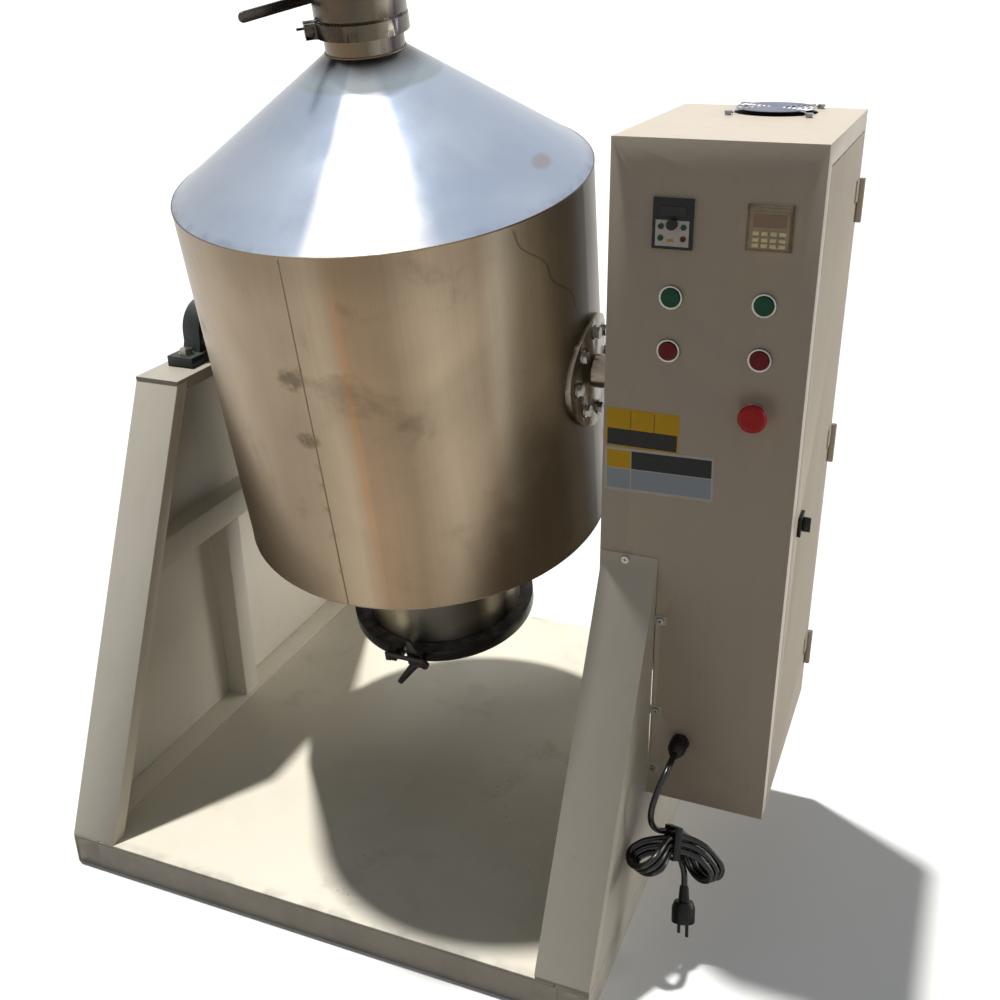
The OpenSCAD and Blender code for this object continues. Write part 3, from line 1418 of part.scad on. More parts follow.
// The tied hank hangs over a bend. Its own frame has X along the strands at the tie
hank_from_gland = [14, -70.7, -105];
hank_place = [gland_x, cab_y0, gland_z] + hank_from_gland;
hank_turn = [-23, 19.5, 45];
strand_gap = 0.4;
waist_half = cord_d / 2 + strand_gap;
spread = fold_r - waist_half;
function strand_v(p) = waist_half + spread
  * (1 - cos(180 * abs(p) / (p < 0 ? fold_left : fold_right))) / 2;
function bent(p, v, w) = let (a = 180 * p / hank_bend / PI)
  [(hank_bend - w) * sin(a), -v, (hank_bend - w) * cos(a) - hank_bend];
function run_p(k) = k < 0 ? fold_left * k / 3 : fold_right * k / 3;
function loop_point(n, j) =
  j < 6 ? bent(run_p(j - 3), -strand_v(run_p(j - 3)), n * layer_step)
  : j < 12 ? bent(fold_right + fold_r * sin(30 * (j - 6)), -fold_r * cos(30 * (j - 6)), n * layer_step)
  : j < 18 ? bent(run_p(15 - j), strand_v(run_p(15 - j)), (n + (j - 12) / 6) * layer_step)
  : bent(-fold_left - fold_r * sin(30 * (j - 18)), fold_r * cos(30 * (j - 18)), (n + 1) * layer_step);
end_run = 8;
hank_end_p = fold_right + fold_r + end_run;
function out_dir(p) = let (a = 180 * p / hank_bend / PI) [cos(a), 0, -sin(a)];
last_w = loops * layer_step;
hank_out = bent(hank_end_p, fold_r * -1, last_w);
hank_end = hank_out + cord_d * out_dir(hank_end_p);
hank_start = bent(0, -waist_half, 0);
hank_points = concat(
  [hank_start, hank_start + [cord_d, 0, 0]],
  [for (i = [1 : 24 * loops + 3]) loop_point(floor((i + 3) / 24), (i + 3) % 24)],
  [bent((fold_right + hank_end_p) / 2, -fold_r, last_w), hank_out, hank_end]);

// Turns a vector of the hank's frame into the part's frame
function turned(v) = let (
  a = [v[0], v[1] * cos(hank_turn[0]) - v[2] * sin(hank_turn[0]),
    v[1] * sin(hank_turn[0]) + v[2] * cos(hank_turn[0])],
  b = [a[0] * cos(hank_turn[1]) + a[2] * sin(hank_turn[1]), a[1],
    a[2] * cos(hank_turn[1]) - a[0] * sin(hank_turn[1])])
  [b[0] * cos(hank_turn[2]) - b[1] * sin(hank_turn[2]),
    b[0] * sin(hank_turn[2]) + b[1] * cos(hank_turn[2]), b[2]];
strand_dir = turned([1, 0, 0]);
tie_point = hank_place + turned(hank_start);

// The lead's run from the gland's nose down to the tie: straight out, then in along the strands
lead_out = 68;
lead_in = 56;
lead_steps = 12;
nose_point = [gland_x, cab_y0 - gland_nose, gland_z];
lead_a = nose_point - [0, cord_d, 0];
lead_b = lead_a - [0, lead_out, 0];
lead_d = tie_point - cord_d * strand_dir;
lead_c = lead_d - lead_in * strand_dir;
function lead_at(t) = pow(1 - t, 3) * lead_a + 3 * pow(1 - t, 2) * t * lead_b
  + 3 * (1 - t) * pow(t, 2) * lead_c + pow(t, 3) * lead_d;
lead_points = concat([nose_point], [for (i = [0 : lead_steps]) lead_at(i / lead_steps)], [tie_point]);

function unit(v) = v / norm(v);
function dir_at(p, i, first, last) = i == 0 ? first : i == len(p) - 1 ? last
  : unit(unit(p[i] - p[i - 1]) + unit(p[i + 1] - p[i]));
function off(v, d) = unit(v - (v * d) * d);

// A round tube swept along points, with its first and last ring square to given directions
module swept(p, r, sides, first, last) {
  n = len(p);
  dirs = [for (i = [0 : n - 1]) dir_at(p, i, first, last)];
  seed = abs(dirs[0][2]) > 0.7 ? [1, 0, 0] : [0, 0, 1];
  normals = [for (i = 0, v = off(seed, dirs[0]); i < n;
    i = i + 1, v = i < n ? off(v, dirs[i]) : v) v];
  rings = [for (i = [0 : n - 1]) for (k = [0 : sides - 1]) let (a = 360 * k / sides)
    p[i] + r * (cos(a) * normals[i] + sin(a) * cross(dirs[i], normals[i]))];
  walls = [for (i = [0 : n - 2]) for (k = [0 : sides - 1]) let (m = (k + 1) % sides)
    each [[i * sides + k, (i + 1) * sides + k, i * sides + m],
      [i * sides + m, (i + 1) * sides + k, (i + 1) * sides + m]]];
  low = [for (k = [1 : sides - 2]) [0, k, k + 1]];
  high = [for (k = [1 : sides - 2]) [(n - 1) * sides, (n - 1) * sides + k + 1, (n - 1) * sides + k]];
  polyhedron(points = rings, faces = concat(walls, low, high));
}

module cord_lead() color(black)
  swept(lead_points, cord_d / 2, 10, [0, -1, 0], strand_dir);

module in_hank() translate(hank_place) rotate(hank_turn) children();

module cord_hank() color(black) in_hank()
  swept(hank_points, cord_d / 2, 6, [1, 0, 0], out_dir(hank_end_p));

// Least gap of the hank's cord to itself, between points that lie further along it than a fold
function span(a, b, k) = a + (b - a) * k;
fine = [for (i = [0 : len(hank_points) - 2]) for (k = [0 : 2])
  span(hank_points[i], hank_points[i + 1], k / 3)];
function gaps_from(i) = min([for (j = [i + 9 : len(fine) - 1]) norm(fine[i] - fine[j])]);
least = min([for (i = [0 : len(fine) - 10]) gaps_from(i)]);
echo(hank_least_gap = least - cord_d);

module cord_tie() color(black) in_hank() {
  tie_t = 2.5;
  tie_w = 12;
  slack = 1.5;
  half_v = 2 * waist_half + slack;
  w0 = -cord_d / 2 - slack;
  w1 = last_w + cord_d / 2 + slack;
  translate([-tie_w / 2, 0, 0]) difference() {
    translate([0, -half_v - tie_t, -w1 - tie_t])
      cube([tie_w, 2 * (half_v + tie_t), w1 - w0 + 2 * tie_t]);
    translate([-over, -half_v, -w1]) cube([tie_w + 2 * over, 2 * half_v, w1 - w0]);
  }
}

module cord_plug() color(black) in_hank() translate(hank_end)
  rotate([0, 90 + 180 * hank_end_p / hank_bend / PI, 0]) {
    boot = 22;
    body = 30;
    pin_len = 19;
    pin_gap = 9.5;
    pin_r = 2.4;
    boot_low = 6.3;
    boot_high = 8.1;
    shoulder = 13.6;
    slope = 9;
    rotate_extrude() polygon([[0, 0], [boot_low, 0], [boot_high, boot], [shoulder, boot],
      [plug_r, boot + slope], [plug_r, boot + body], [0, boot + body]]);
    for (s = [-1, 1]) translate([0, s * pin_gap, boot + body - seam])
      cylinder(r = pin_r, h = pin_len + seam);
  }

base_frame();
floor_plates();
leg_tubes();
frame_caps();
crossbars();
struts();
side_panels();
end_covers();
panel_screws();
pillow_blocks();
bearing_races();
bearing_bolts();
cabinet_shell();
hinge_leaves();
mounting_plate();
contactors();
drive_plate();
gearbox();
motor();
motor_cowl();
drive_bolts();
fan_guard();
fan_frame();
inverter();
timer();
button_bezels();
contact_blocks();
estop_collar();
cable_gland();
cord_lead();
cord_hank();
cord_tie();
cord_plug();
drum_shell();
trunnion_hubs();
trunnion_bolts();
trunnion_shafts();
bearing_inner_rings();
neck_clamp();
valve_body();
valve_disc();
valve_handle();
feed_lid();
lid_gasket();
hoop_left();
hoop_right();
latch_lever();
draw_link();
cabinet_door();
door_latch();
latch_cam();
fan_rotor();
green_button_left();
green_button_right();
red_button_left();
red_button_right();
estop_stem();
estop_head();
inverter_knob();
timer_cover();
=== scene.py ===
import json
import math

import bpy
from mathutils import Matrix, Vector

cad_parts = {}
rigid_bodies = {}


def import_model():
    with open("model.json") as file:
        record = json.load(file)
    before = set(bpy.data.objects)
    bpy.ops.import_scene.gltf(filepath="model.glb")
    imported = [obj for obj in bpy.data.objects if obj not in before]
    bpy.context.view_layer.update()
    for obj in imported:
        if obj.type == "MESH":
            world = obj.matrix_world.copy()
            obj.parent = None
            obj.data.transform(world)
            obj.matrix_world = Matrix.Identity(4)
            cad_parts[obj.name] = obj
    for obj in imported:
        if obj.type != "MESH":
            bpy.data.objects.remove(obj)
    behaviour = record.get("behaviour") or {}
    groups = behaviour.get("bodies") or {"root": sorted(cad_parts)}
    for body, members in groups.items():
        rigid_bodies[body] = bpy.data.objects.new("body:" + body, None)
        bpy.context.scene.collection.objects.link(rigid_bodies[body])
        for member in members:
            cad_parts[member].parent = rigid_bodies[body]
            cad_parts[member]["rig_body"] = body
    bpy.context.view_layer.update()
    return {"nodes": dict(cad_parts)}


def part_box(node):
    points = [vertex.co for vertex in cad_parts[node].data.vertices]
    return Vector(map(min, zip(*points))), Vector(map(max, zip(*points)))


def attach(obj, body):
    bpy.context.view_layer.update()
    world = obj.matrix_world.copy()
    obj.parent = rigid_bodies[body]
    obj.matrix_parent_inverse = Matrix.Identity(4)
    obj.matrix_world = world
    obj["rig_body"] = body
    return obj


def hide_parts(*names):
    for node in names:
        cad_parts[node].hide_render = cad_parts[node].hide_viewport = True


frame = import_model()
bpy.ops.object.select_all(action="DESELECT")

MM = 0.001
SMOOTH_LIMIT = math.radians(30)


# ---------------------------------------------------------------- camera

EYE = Vector((0.7796, -1.5579, 1.330))
YAW, PITCH, ROLL = math.radians(22.70), math.radians(24.85), math.radians(-0.803)
FOCAL_LENGTH, SENSOR_WIDTH = 41.76, 36.0

forward = Vector((-math.sin(YAW) * math.cos(PITCH), math.cos(YAW) * math.cos(PITCH),
                  -math.sin(PITCH)))
level_right = Vector((math.cos(YAW), math.sin(YAW), 0))
level_up = level_right.cross(forward)
right = math.cos(ROLL) * level_right + math.sin(ROLL) * level_up
up = math.cos(ROLL) * level_up - math.sin(ROLL) * level_right

bpy.ops.object.camera_add(location=EYE)
camera = bpy.context.object
camera.name = "camera"
camera.matrix_world = Matrix((
    (right.x, up.x, -forward.x, EYE.x),
    (right.y, up.y, -forward.y, EYE.y),
    (right.z, up.z, -forward.z, EYE.z),
    (0, 0, 0, 1)))
camera.data.lens = FOCAL_LENGTH
camera.data.sensor_width = SENSOR_WIDTH
camera.data.clip_end = 100
bpy.context.scene.camera = camera


# ---------------------------------------------------------------- supply cord

CORD_D = 9 * MM
POINT_RADIUS = 0.01
HANK_BEND, FOLD_R, FOLD_LEFT, FOLD_RIGHT = 80, 27, 60, 83
LAYER_STEP, LOOPS, HANK_END_P = 9.8, 3, 118
WAIST_HALF = 4.9
HANK_PLACE = Vector((500, -266, 203))
HANK_TURN = (-23, 19.5, 45)
GLAND_NOSE = Vector((486, -230, 308))
LEAD_OUT, LEAD_IN, LEAD_STEPS = 68, 56, 12
SPAN_STEPS = 4

hank_axes = (Matrix.Rotation(math.radians(HANK_TURN[2]), 3, "Z")
             @ Matrix.Rotation(math.radians(HANK_TURN[1]), 3, "Y")
             @ Matrix.Rotation(math.radians(HANK_TURN[0]), 3, "X"))


def bent(run, side, layer):
    """A place in the hank, by its run over the bend, its side step and its layer."""
    angle = run / HANK_BEND
    reach = HANK_BEND - layer
    return Vector((reach * math.sin(angle), -side, reach * math.cos(angle) - HANK_BEND))


def strand_side(run):
    length = FOLD_LEFT if run < 0 else FOLD_RIGHT
    swell = (1 - math.cos(math.pi * abs(run) / length)) / 2
    return WAIST_HALF + (FOLD_R - WAIST_HALF) * swell


def strand_run(step):
    return (FOLD_LEFT if step < 0 else FOLD_RIGHT) * step / 3


def loop_place(turn, step):
    if step < 6:
        run = strand_run(step - 3)
        return bent(run, -strand_side(run), turn * LAYER_STEP)
    if step < 12:
        angle = math.radians(30 * (step - 6))
        return bent(FOLD_RIGHT + FOLD_R * math.sin(angle), -FOLD_R * math.cos(angle),
                    turn * LAYER_STEP)
    if step < 18:
        run = strand_run(15 - step)
        return bent(run, strand_side(run), (turn + (step - 12) / 6) * LAYER_STEP)
    angle = math.radians(30 * (step - 18))
    return bent(-FOLD_LEFT - FOLD_R * math.sin(angle), FOLD_R * math.cos(angle),
                (turn + 1) * LAYER_STEP)


def from_hank(place):
    return HANK_PLACE + hank_axes @ place


hank_start = bent(0, -WAIST_HALF, 0)
end_angle = HANK_END_P / HANK_BEND
end_direction = Vector((math.cos(end_angle), 0, -math.sin(end_angle)))
last_layer = LOOPS * LAYER_STEP
hank_out = bent(HANK_END_P, -FOLD_R, last_layer)
strand_direction = hank_axes @ Vector((1, 0, 0))
tie_place = from_hank(hank_start)
lead_ends = (GLAND_NOSE - Vector((0, 9, 0)), tie_place - 9 * strand_direction)
lead_knees = (lead_ends[0] - Vector((0, LEAD_OUT, 0)), lead_ends[1] - LEAD_IN * strand_direction)


def lead_place(t):
    """The lead leaves the gland straight and comes in along the strands at the tie."""
    return ((1 - t) ** 3 * lead_ends[0] + 3 * (1 - t) ** 2 * t * lead_knees[0]
            + 3 * (1 - t) * t ** 2 * lead_knees[1] + t ** 3 * lead_ends[1])


route = [GLAND_NOSE] + [lead_place(i / LEAD_STEPS) for i in range(LEAD_STEPS + 1)] + [tie_place]
route += [from_hank(hank_start + Vector((9, 0, 0)))]
route += [from_hank(loop_place((i + 3) // 24, (i + 3) % 24)) for i in range(1, 24 * LOOPS + 4)]
route += [from_hank(bent((FOLD_RIGHT + HANK_END_P) / 2, -FOLD_R, last_layer)),
          from_hank(hank_out), from_hank(hank_out + 9 * end_direction)]


def smooth_line(points, steps):
    """The points of a line that passes through the given ones without a kink."""
    ends = [2 * points[0] - points[1]] + points + [2 * points[-1] - points[-2]]
    line = []
    for a, b, c, d in zip(ends, ends[1:], ends[2:], ends[3:]):
        for i in range(steps):
            t = i / steps
            line.append(0.5 * (2 * b + (c - a) * t + (2 * a - 5 * b + 4 * c - d) * t ** 2
                               + (3 * b - 3 * c + d - a) * t ** 3))
    return line + [points[-1]]


cord_line = [p * MM for p in smooth_line(route, SPAN_STEPS)]
cord_length = sum((b - a).length for a, b in zip(cord_line, cord_line[1:]))
cord_curve = bpy.data.curves.new("supply_cord", "CURVE")
cord_curve.dimensions = "3D"
cord_curve.bevel_depth = CORD_D / 2 / POINT_RADIUS
cord_curve.bevel_resolution = 5
cord_curve.use_fill_caps = True
spline = cord_curve.splines.new("POLY")
spline.points.add(len(cord_line) - 1)
for point, place in zip(spline.points, cord_line):
    point.co = (*place, 1)
    point.radius = POINT_RADIUS
spline.use_smooth = True
supply_cord = bpy.data.objects.new("supply_cord", cord_curve)
bpy.context.scene.collection.objects.link(supply_cord)
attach(supply_cord, "stand")
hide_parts("cord_lead", "cord_hank")


# ---------------------------------------------------------------- finishes

def tone(red, green, blue):
    """A colour from its three screen values of 0 to 255."""
    values = [v / 255 for v in (red, green, blue)]
    linear = [v / 12.92 if v < 0.04045 else ((v + 0.055) / 1.055) ** 2.4 for v in values]
    return (*linear, 1)


class Value:
    """A number or colour that changes over a surface. Sums on it add their own nodes."""

    def __init__(self, finish, socket):
        self.finish, self.socket = finish, socket

    def sum(self, operation, *values):
        return self.finish.add("ShaderNodeMath", {"operation": operation},
                               dict(enumerate(values)))

    def __add__(self, other):
        return self.sum("ADD", self, other)

    __radd__ = __add__

    def __sub__(self, other):
        return self.sum("SUBTRACT", self, other)

    def __rsub__(self, other):
        return self.sum("SUBTRACT", other, self)

    def __mul__(self, other):
        return self.sum("MULTIPLY", self, other)

    __rmul__ = __mul__

    def __truediv__(self, other):
        return self.sum("DIVIDE", self, other)

    def __pow__(self, other):
        return self.sum("POWER", self, other)

    def __abs__(self):
        return self.sum("ABSOLUTE", self)

    def wave(self):
        return self.sum("SINE", self)

    def at_least(self, other):
        return self.sum("MAXIMUM", self, other)

    def rise(self, low, high):
        """0 up to low, 1 from high on, and smooth between them."""
        return self.finish.add("ShaderNodeMapRange", {"interpolation_type": "SMOOTHSTEP"},
                               {"Value": self, "From Min": low, "From Max": high})

    def fall(self, low, high):
        return 1 - self.rise(low, high)

    def near(self, middle, half):
        """1 at the middle, and 0 from half away on."""
        return abs(self - middle).fall(0, half)


class Finish:
    """A material under way. What is the same all over is set on the shader's own sockets."""

    def __init__(self, name, **constants):
        self.material = bpy.data.materials.new(name)
        self.material.use_nodes = True
        self.nodes = self.material.node_tree.nodes
        self.links = self.material.node_tree.links
        self.shader = self.nodes["Principled BSDF"]
        for socket, value in constants.items():
            self.shader.inputs[socket.replace("_", " ")].default_value = value
        self.place = self.add("ShaderNodeTexCoord", {}, {}, "Object")

    def add(self, kind, settings, values, output=0):
        node = self.nodes.new(kind)
        for name, value in settings.items():
            if name == "stops":
                stops = node.color_ramp.elements
                while len(stops) < len(value):
                    stops.new(1)
                for stop, (position, colour) in zip(stops, value):
                    stop.position, stop.color = position, colour
            else:
                setattr(node, name, value)
        for name, value in values.items():
            if isinstance(value, Value):
                self.links.new(value.socket, node.inputs[name])
            else:
                node.inputs[name].default_value = value
        return Value(self, node.outputs[output])

    def feed(self, socket, value):
        self.links.new(value.socket, self.shader.inputs[socket])

    def stretched(self, x, y, z, place=None):
        return self.add("ShaderNodeVectorMath", {"operation": "MULTIPLY"},
                        {0: place or self.place, 1: (x, y, z)})

    def noise(self, scale, detail=2.0, place=None, rough=0.5, distortion=0.0):
        return self.add("ShaderNodeTexNoise", {}, {
            "Vector": place or self.place, "Scale": scale, "Detail": detail,
            "Roughness": rough, "Distortion": distortion})

    def cells(self, scale, place=None):
        return self.add("ShaderNodeTexVoronoi", {"feature": "F1"},
                        {"Vector": place or self.place, "Scale": scale})

    def mix(self, share, first, second):
        return self.add("ShaderNodeMix", {"data_type": "RGBA"},
                        {0: share, 6: first, 7: second}, 2)

    def shaded(self, colour, share):
        """The colour made darker by a share of 0 to 1."""
        return self.add("ShaderNodeMix", {"data_type": "RGBA", "blend_type": "MULTIPLY"},
                        {0: share, 6: colour, 7: (0, 0, 0, 1)}, 2)

    def shade_of(self, colour, share=0.8):
        return (*[c * share for c in colour[:3]], 1)

    def ramp(self, value, stops):
        return self.add("ShaderNodeValToRGB", {"stops": stops}, {0: value})

    def split(self, place=None):
        node = self.add("ShaderNodeSeparateXYZ", {}, {0: place or self.place})
        return [Value(self, s) for s in node.socket.node.outputs]

    def join(self, x, y, z):
        return self.add("ShaderNodeCombineXYZ", {}, {0: x, 1: y, 2: z})

    def bump(self, height, depth, strength=1.0):
        bump = self.add("ShaderNodeBump", {}, {
            "Height": height, "Distance": depth, "Strength": strength})
        self.feed("Normal", bump)
        return bump


GROUND_DIRT_Z = 0.09


def painted(name, colour, dull, rough=0.45, dirt=0.5, sheen=0.4):
    """Sprayed enamel on sheet and tube: faint clouds, orange peel, dust low down, scuffs."""
    f = Finish(name, Specular_IOR_Level=sheen)
    z = f.split()[2]
    clouds = f.noise(2.2, 4).rise(0.3, 0.72)
    streaks = f.noise(3.0, 3, f.stretched(14, 14, 1.2)).rise(0.45, 0.8)
    scuffs = f.noise(38, 5, f.stretched(1, 1, 0.5), 0.65).rise(0.63, 0.74)
    specks = f.cells(95).fall(0.03, 0.07) * f.noise(9, 2).rise(0.52, 0.66)
    low = z.fall(0.01, GROUND_DIRT_Z) * f.noise(16, 4).rise(0.3, 0.7)
    tint = f.mix(clouds * 0.5 + streaks * 0.25, colour, dull)
    tint = f.shaded(tint, (scuffs * 0.16 + specks * 0.3 + low * 0.4) * dirt)
    f.feed("Base Color", tint)
    f.feed("Roughness", f.noise(7, 3) * 0.16 + scuffs * 0.1 + (rough - 0.08))
    f.bump(f.noise(420, 2) + f.noise(60, 2) * 1.5, 0.00012, 0.6)
    return f.material


def deck_paint():
    """The cream floor sheets: foot dust, grey smears, rust specks and a worn edge."""
    f = Finish("deck_cream", Specular_IOR_Level=0.35)
    x, y = f.split()[:2]
    clouds = f.noise(3.1, 5, None, 0.6).rise(0.4, 0.75)
    smears = f.noise(9, 6, None, 0.7, 0.4).rise(0.56, 0.74)
    specks = f.cells(48).fall(0.03, 0.09) * f.noise(5, 2).rise(0.5, 0.62)
    edge = (abs(y).rise(0.435, 0.4575)).at_least(abs(x).rise(0.43, 0.441))
    tint = f.mix(clouds * 0.6, tone(233, 227, 210), tone(214, 206, 188))
    tint = f.mix(smears * 0.26, tint, tone(172, 168, 158))
    tint = f.mix(specks * 0.7, tint, tone(122, 98, 74))
    tint = f.shaded(tint, edge * f.noise(30, 4).rise(0.35, 0.7) * 0.3)
    f.feed("Base Color", tint)
    f.feed("Roughness", smears * 0.2 + f.noise(11, 3) * 0.2 + 0.36)
    f.bump(f.noise(330, 2) + f.noise(25, 3) * 2, 0.00014, 0.5)
    return f.material


DRUM_CENTRE = Vector((-0.023, 0, 0.784))
DRUM_TILT = math.radians(10.8)
drum_axes = Matrix.Rotation(DRUM_TILT, 3, "X")
DRUM_UP = 0.282
DRUM_DOWN = -0.278


def drum_place(f):
    """The drum's own coordinates: turned upright about its centre."""
    back = drum_axes.transposed()
    return f.add("ShaderNodeMapping", {}, {
        "Vector": f.place, "Location": -(back @ DRUM_CENTRE), "Rotation": (-DRUM_TILT, 0, 0)})


def round_drum(f):
    """Degrees round the drum from its front towards the right, and its height and radius."""
    place = drum_place(f)
    x, y, s = f.split(place)
    turn = f.add("ShaderNodeMath", {"operation": "ARCTAN2"}, {0: x, 1: 0 - y})
    radius = (x * x + y * y) ** 0.5
    return place, turn * (180 / math.pi), s, radius


def by_degrees(stops):
    return [((degrees + 180) / 360, colour) for degrees, colour in stops]


STEEL_LIGHT = tone(163, 146, 124)
STEEL_TAN = tone(148, 131, 110)
STEEL_BROWN = tone(142, 120, 96)
STEEL_SMOKE = tone(104, 97, 85)
STEEL_PALE = tone(158, 150, 136)
STEEL_DULL = tone(132, 114, 93)
# A painted highlight tone for the bright band on the right of the shell
STEEL_PAINTED_HIGHLIGHT = tone(178, 166, 145)


def drum_steel():
    """Rolled stainless sheet: tan bands round the shell with painted reflection bands among them,
    painted shade at its lower corners, a heat streak beside the seam, a bright polished cone with a
    painted highlight and painted reflection, brushed grain, smudges and a scribed mark on the
    right."""
    f = Finish("drum_sheet", Metallic=1.0)
    place, turn, s, radius = round_drum(f)
    wobble = (f.noise(5, 3, place) - 0.5) * 5
    turned = turn + wobble
    share = (turned + 180) / 360
    # The bands by angle are partly the sheet's own tone and partly painted reflection: a painted
    # highlight band from 54 to 66 degrees and painted shade from 80 to 88 degrees on the right.
    band = f.ramp(share, by_degrees([
        (-180, STEEL_TAN), (-120, STEEL_PALE), (-75, STEEL_SMOKE), (-44, STEEL_TAN),
        (-25, STEEL_LIGHT), (-13, STEEL_TAN), (-3, STEEL_TAN), (8, STEEL_LIGHT),
        (14, STEEL_BROWN), (25, STEEL_DULL), (36, STEEL_LIGHT), (48.5, STEEL_TAN),
        (54, STEEL_PAINTED_HIGHLIGHT), (66, STEEL_PAINTED_HIGHLIGHT), (80, tone(118, 110, 97)), (88, tone(78, 73, 65)),
        (125, STEEL_TAN), (180, STEEL_TAN)]))
    # Painted broad shade towards the lower corners of the shell; the shell is also made darker
    # towards its top edge
    low_left = turned.fall(-46, -12) * s.fall(-0.30, -0.02) * 0.42
    right_side = turned.rise(49, 55) * turned.fall(80, 98)
    low_right = right_side * s.fall(-0.24, 0.16) * 0.24
    top_edge = s.rise(0.19, 0.275) * 0.22
    band = f.shaded(band, low_left)
    band = f.shaded(band, low_right)
    band = f.shaded(band, top_edge)
    # The heat streak
    streak = turn.near(12.6, 1.7) * s.rise(-0.23, -0.1) * s.fall(0.16, 0.27)
    band = f.mix(streak * 0.42, band, tone(168, 122, 82))
    # Smudges, fine upright scratches and dark touches along the seam
    lines = f.noise(1, 4, f.join(turn * 2.2, s * 1.6, 0)).rise(0.35, 0.7)
    fine = f.noise(1, 3, f.join(turn * 11, s * 4, 0)).rise(0.3, 0.72)
    smudge = f.noise(9, 5, place, 0.6, 0.4).rise(0.56, 0.72)
    haze = f.noise(3.4, 4, place, 0.55, 0.8).rise(0.38, 0.68)
    band = f.shaded(band, lines * 0.05 + fine * 0.03 + smudge * 0.18 + haze * 0.13)
    seam_dirt = turn.near(0.5, 2.6) * f.noise(26, 4, place).rise(0.56, 0.68)
    touched = ((turn + 3) * (turn + 3) / 12 + (s - 0.105) * (s - 0.105) * 5000).fall(0.3, 2.4)
    touched = touched.at_least(
        ((turn + 1.5) * (turn + 1.5) / 9 + (s - 0.012) * (s - 0.012) * 9000).fall(0.3, 2.2))
    line_of_seam = turn.near(0.5, 0.28) * s.fall(0.10, 0.2) * f.noise(40, 3, place).rise(0.4, 0.55)
    band = f.shaded(band, seam_dirt * 0.35)
    band = f.shaded(band, (touched * f.noise(60, 4, place).rise(0.3, 0.6)) * 0.5)
    band = f.shaded(band, line_of_seam * 0.75)
    path = (0.28 - s) * 158 + 57.5 + (s * 95).wave() * 1.2
    scribe = abs(turn - path).fall(0.15, 0.6) * s.rise(0.1, 0.13) * s.fall(0.27, 0.281)
    band = f.shaded(band, scribe * 0.4)

    # The upper cone, polished brighter: its bluish tone and darker left side are painted
    # reflection, the near-white sector is a painted highlight, and a smoky ring sits at its neck
    painted_highlight_sector = turned.rise(5, 10) * turned.fall(31, 42)
    cloud = f.noise(6, 4, place).rise(0.35, 0.7)
    left = turned.fall(-60, 0)
    polish = f.mix(cloud * 0.6, tone(160, 172, 191), tone(178, 187, 201))
    polish = f.mix(left * 0.6, polish, tone(146, 152, 160))
    polish = f.mix(painted_highlight_sector * 0.92, polish, tone(250, 250, 250))
    ring = radius.fall(0.098, 0.104)
    polish = f.mix(ring * 0.8, polish, tone(150, 160, 164))
    core = radius.fall(0.055, 0.092)
    polish = f.mix(core * 0.85, polish, tone(66, 58, 52))
    edge = radius.rise(0.286, 0.2985) * f.noise(45, 4, place).rise(0.3, 0.7)
    polish = f.shaded(polish, edge * 0.3)
    stain = ((turn - 86) * (turn - 86) / 30 + (radius - 0.25) * (radius - 0.25) * 9000)
    polish = f.mix(stain.fall(0.2, 1.4) * 0.5, polish, tone(150, 132, 118))
    upper = s.rise(DRUM_UP - 0.0008, DRUM_UP + 0.0008)
    tint = f.mix(upper, band, polish)

    # The neck, the lower cone and the feed collar; the neck's and collar's colours by angle round
    # the drum carry painted highlights and painted shade
    neck = s.rise(0.449, 0.452)
    rings = f.ramp(share, by_degrees([
        (-180, tone(112, 104, 92)), (-70, tone(66, 61, 56)), (-30, tone(104, 94, 80)),
        (5, tone(92, 77, 60)), (32, tone(82, 74, 62)), (60, tone(138, 132, 122)),
        (72, tone(56, 56, 62)), (110, tone(108, 100, 88)), (180, tone(112, 104, 92))]))
    tint = f.mix(neck, tint, rings)
    collar = s.fall(-0.3935, -0.391)
    mirror = f.ramp(share, by_degrees([
        (-180, STEEL_PALE), (-60, tone(120, 118, 112)), (-34, tone(128, 124, 114)),
        (-20, tone(196, 186, 160)), (-8, tone(204, 196, 172)), (2, tone(112, 108, 98)),
        (30, tone(144, 139, 129)), (52, tone(124, 119, 109)), (62, tone(176, 168, 152)),
        (78, tone(74, 72, 66)), (92, tone(196, 188, 170)), (120, STEEL_TAN),
        (180, STEEL_PALE)]))
    tint = f.mix(collar, tint, mirror)
    f.feed("Base Color", tint)
    grain = f.noise(1, 3, f.join(turn * 0.6, s * 900, radius * 900))
    scratch = f.noise(1, 3, f.join(turn * 5, s * 26, radius * 40)).rise(0.52, 0.7)
    shell_rough = 0.33 + smudge * 0.12 + haze * 0.05
    cone_rough = 0.2 + cloud * 0.08 + edge * 0.1
    f.feed("Roughness", shell_rough * (1 - upper) + cone_rough * upper + grain * 0.05)
    # Hand-beaten sheet is never quite flat: long low waves, and finer ones on the cone
    waves = f.noise(6, 2, place) * (0.35 + upper * 1.1)
    f.bump(waves * 4 + scratch * 0.012 + grain * 0.02, 0.0016, 0.5)
    return f.material


def steel(name, colour, dark, rough=0.3, scale=40, grain=(1, 1, 12), depth=0.0001):
    """Turned or brushed steel with fine lines across it, stains and dull spots."""
    f = Finish(name, Metallic=1.0)
    brush = f.noise(scale * 6, 3, f.stretched(*grain))
    stains = f.noise(scale / 2, 5, None, 0.6, 0.5).rise(0.48, 0.7)
    spots = f.cells(scale * 5).fall(0.06, 0.16) * f.noise(scale, 2).rise(0.5, 0.6)
    tint = f.mix(brush * 0.5 + stains * 0.4, colour, dark)
    f.feed("Base Color", f.shaded(tint, spots * 0.35))
    f.feed("Roughness", brush * 0.12 + stains * 0.14 + (rough - 0.08))
    f.bump(brush + f.noise(scale * 2, 2), depth, 0.5)
    return f.material


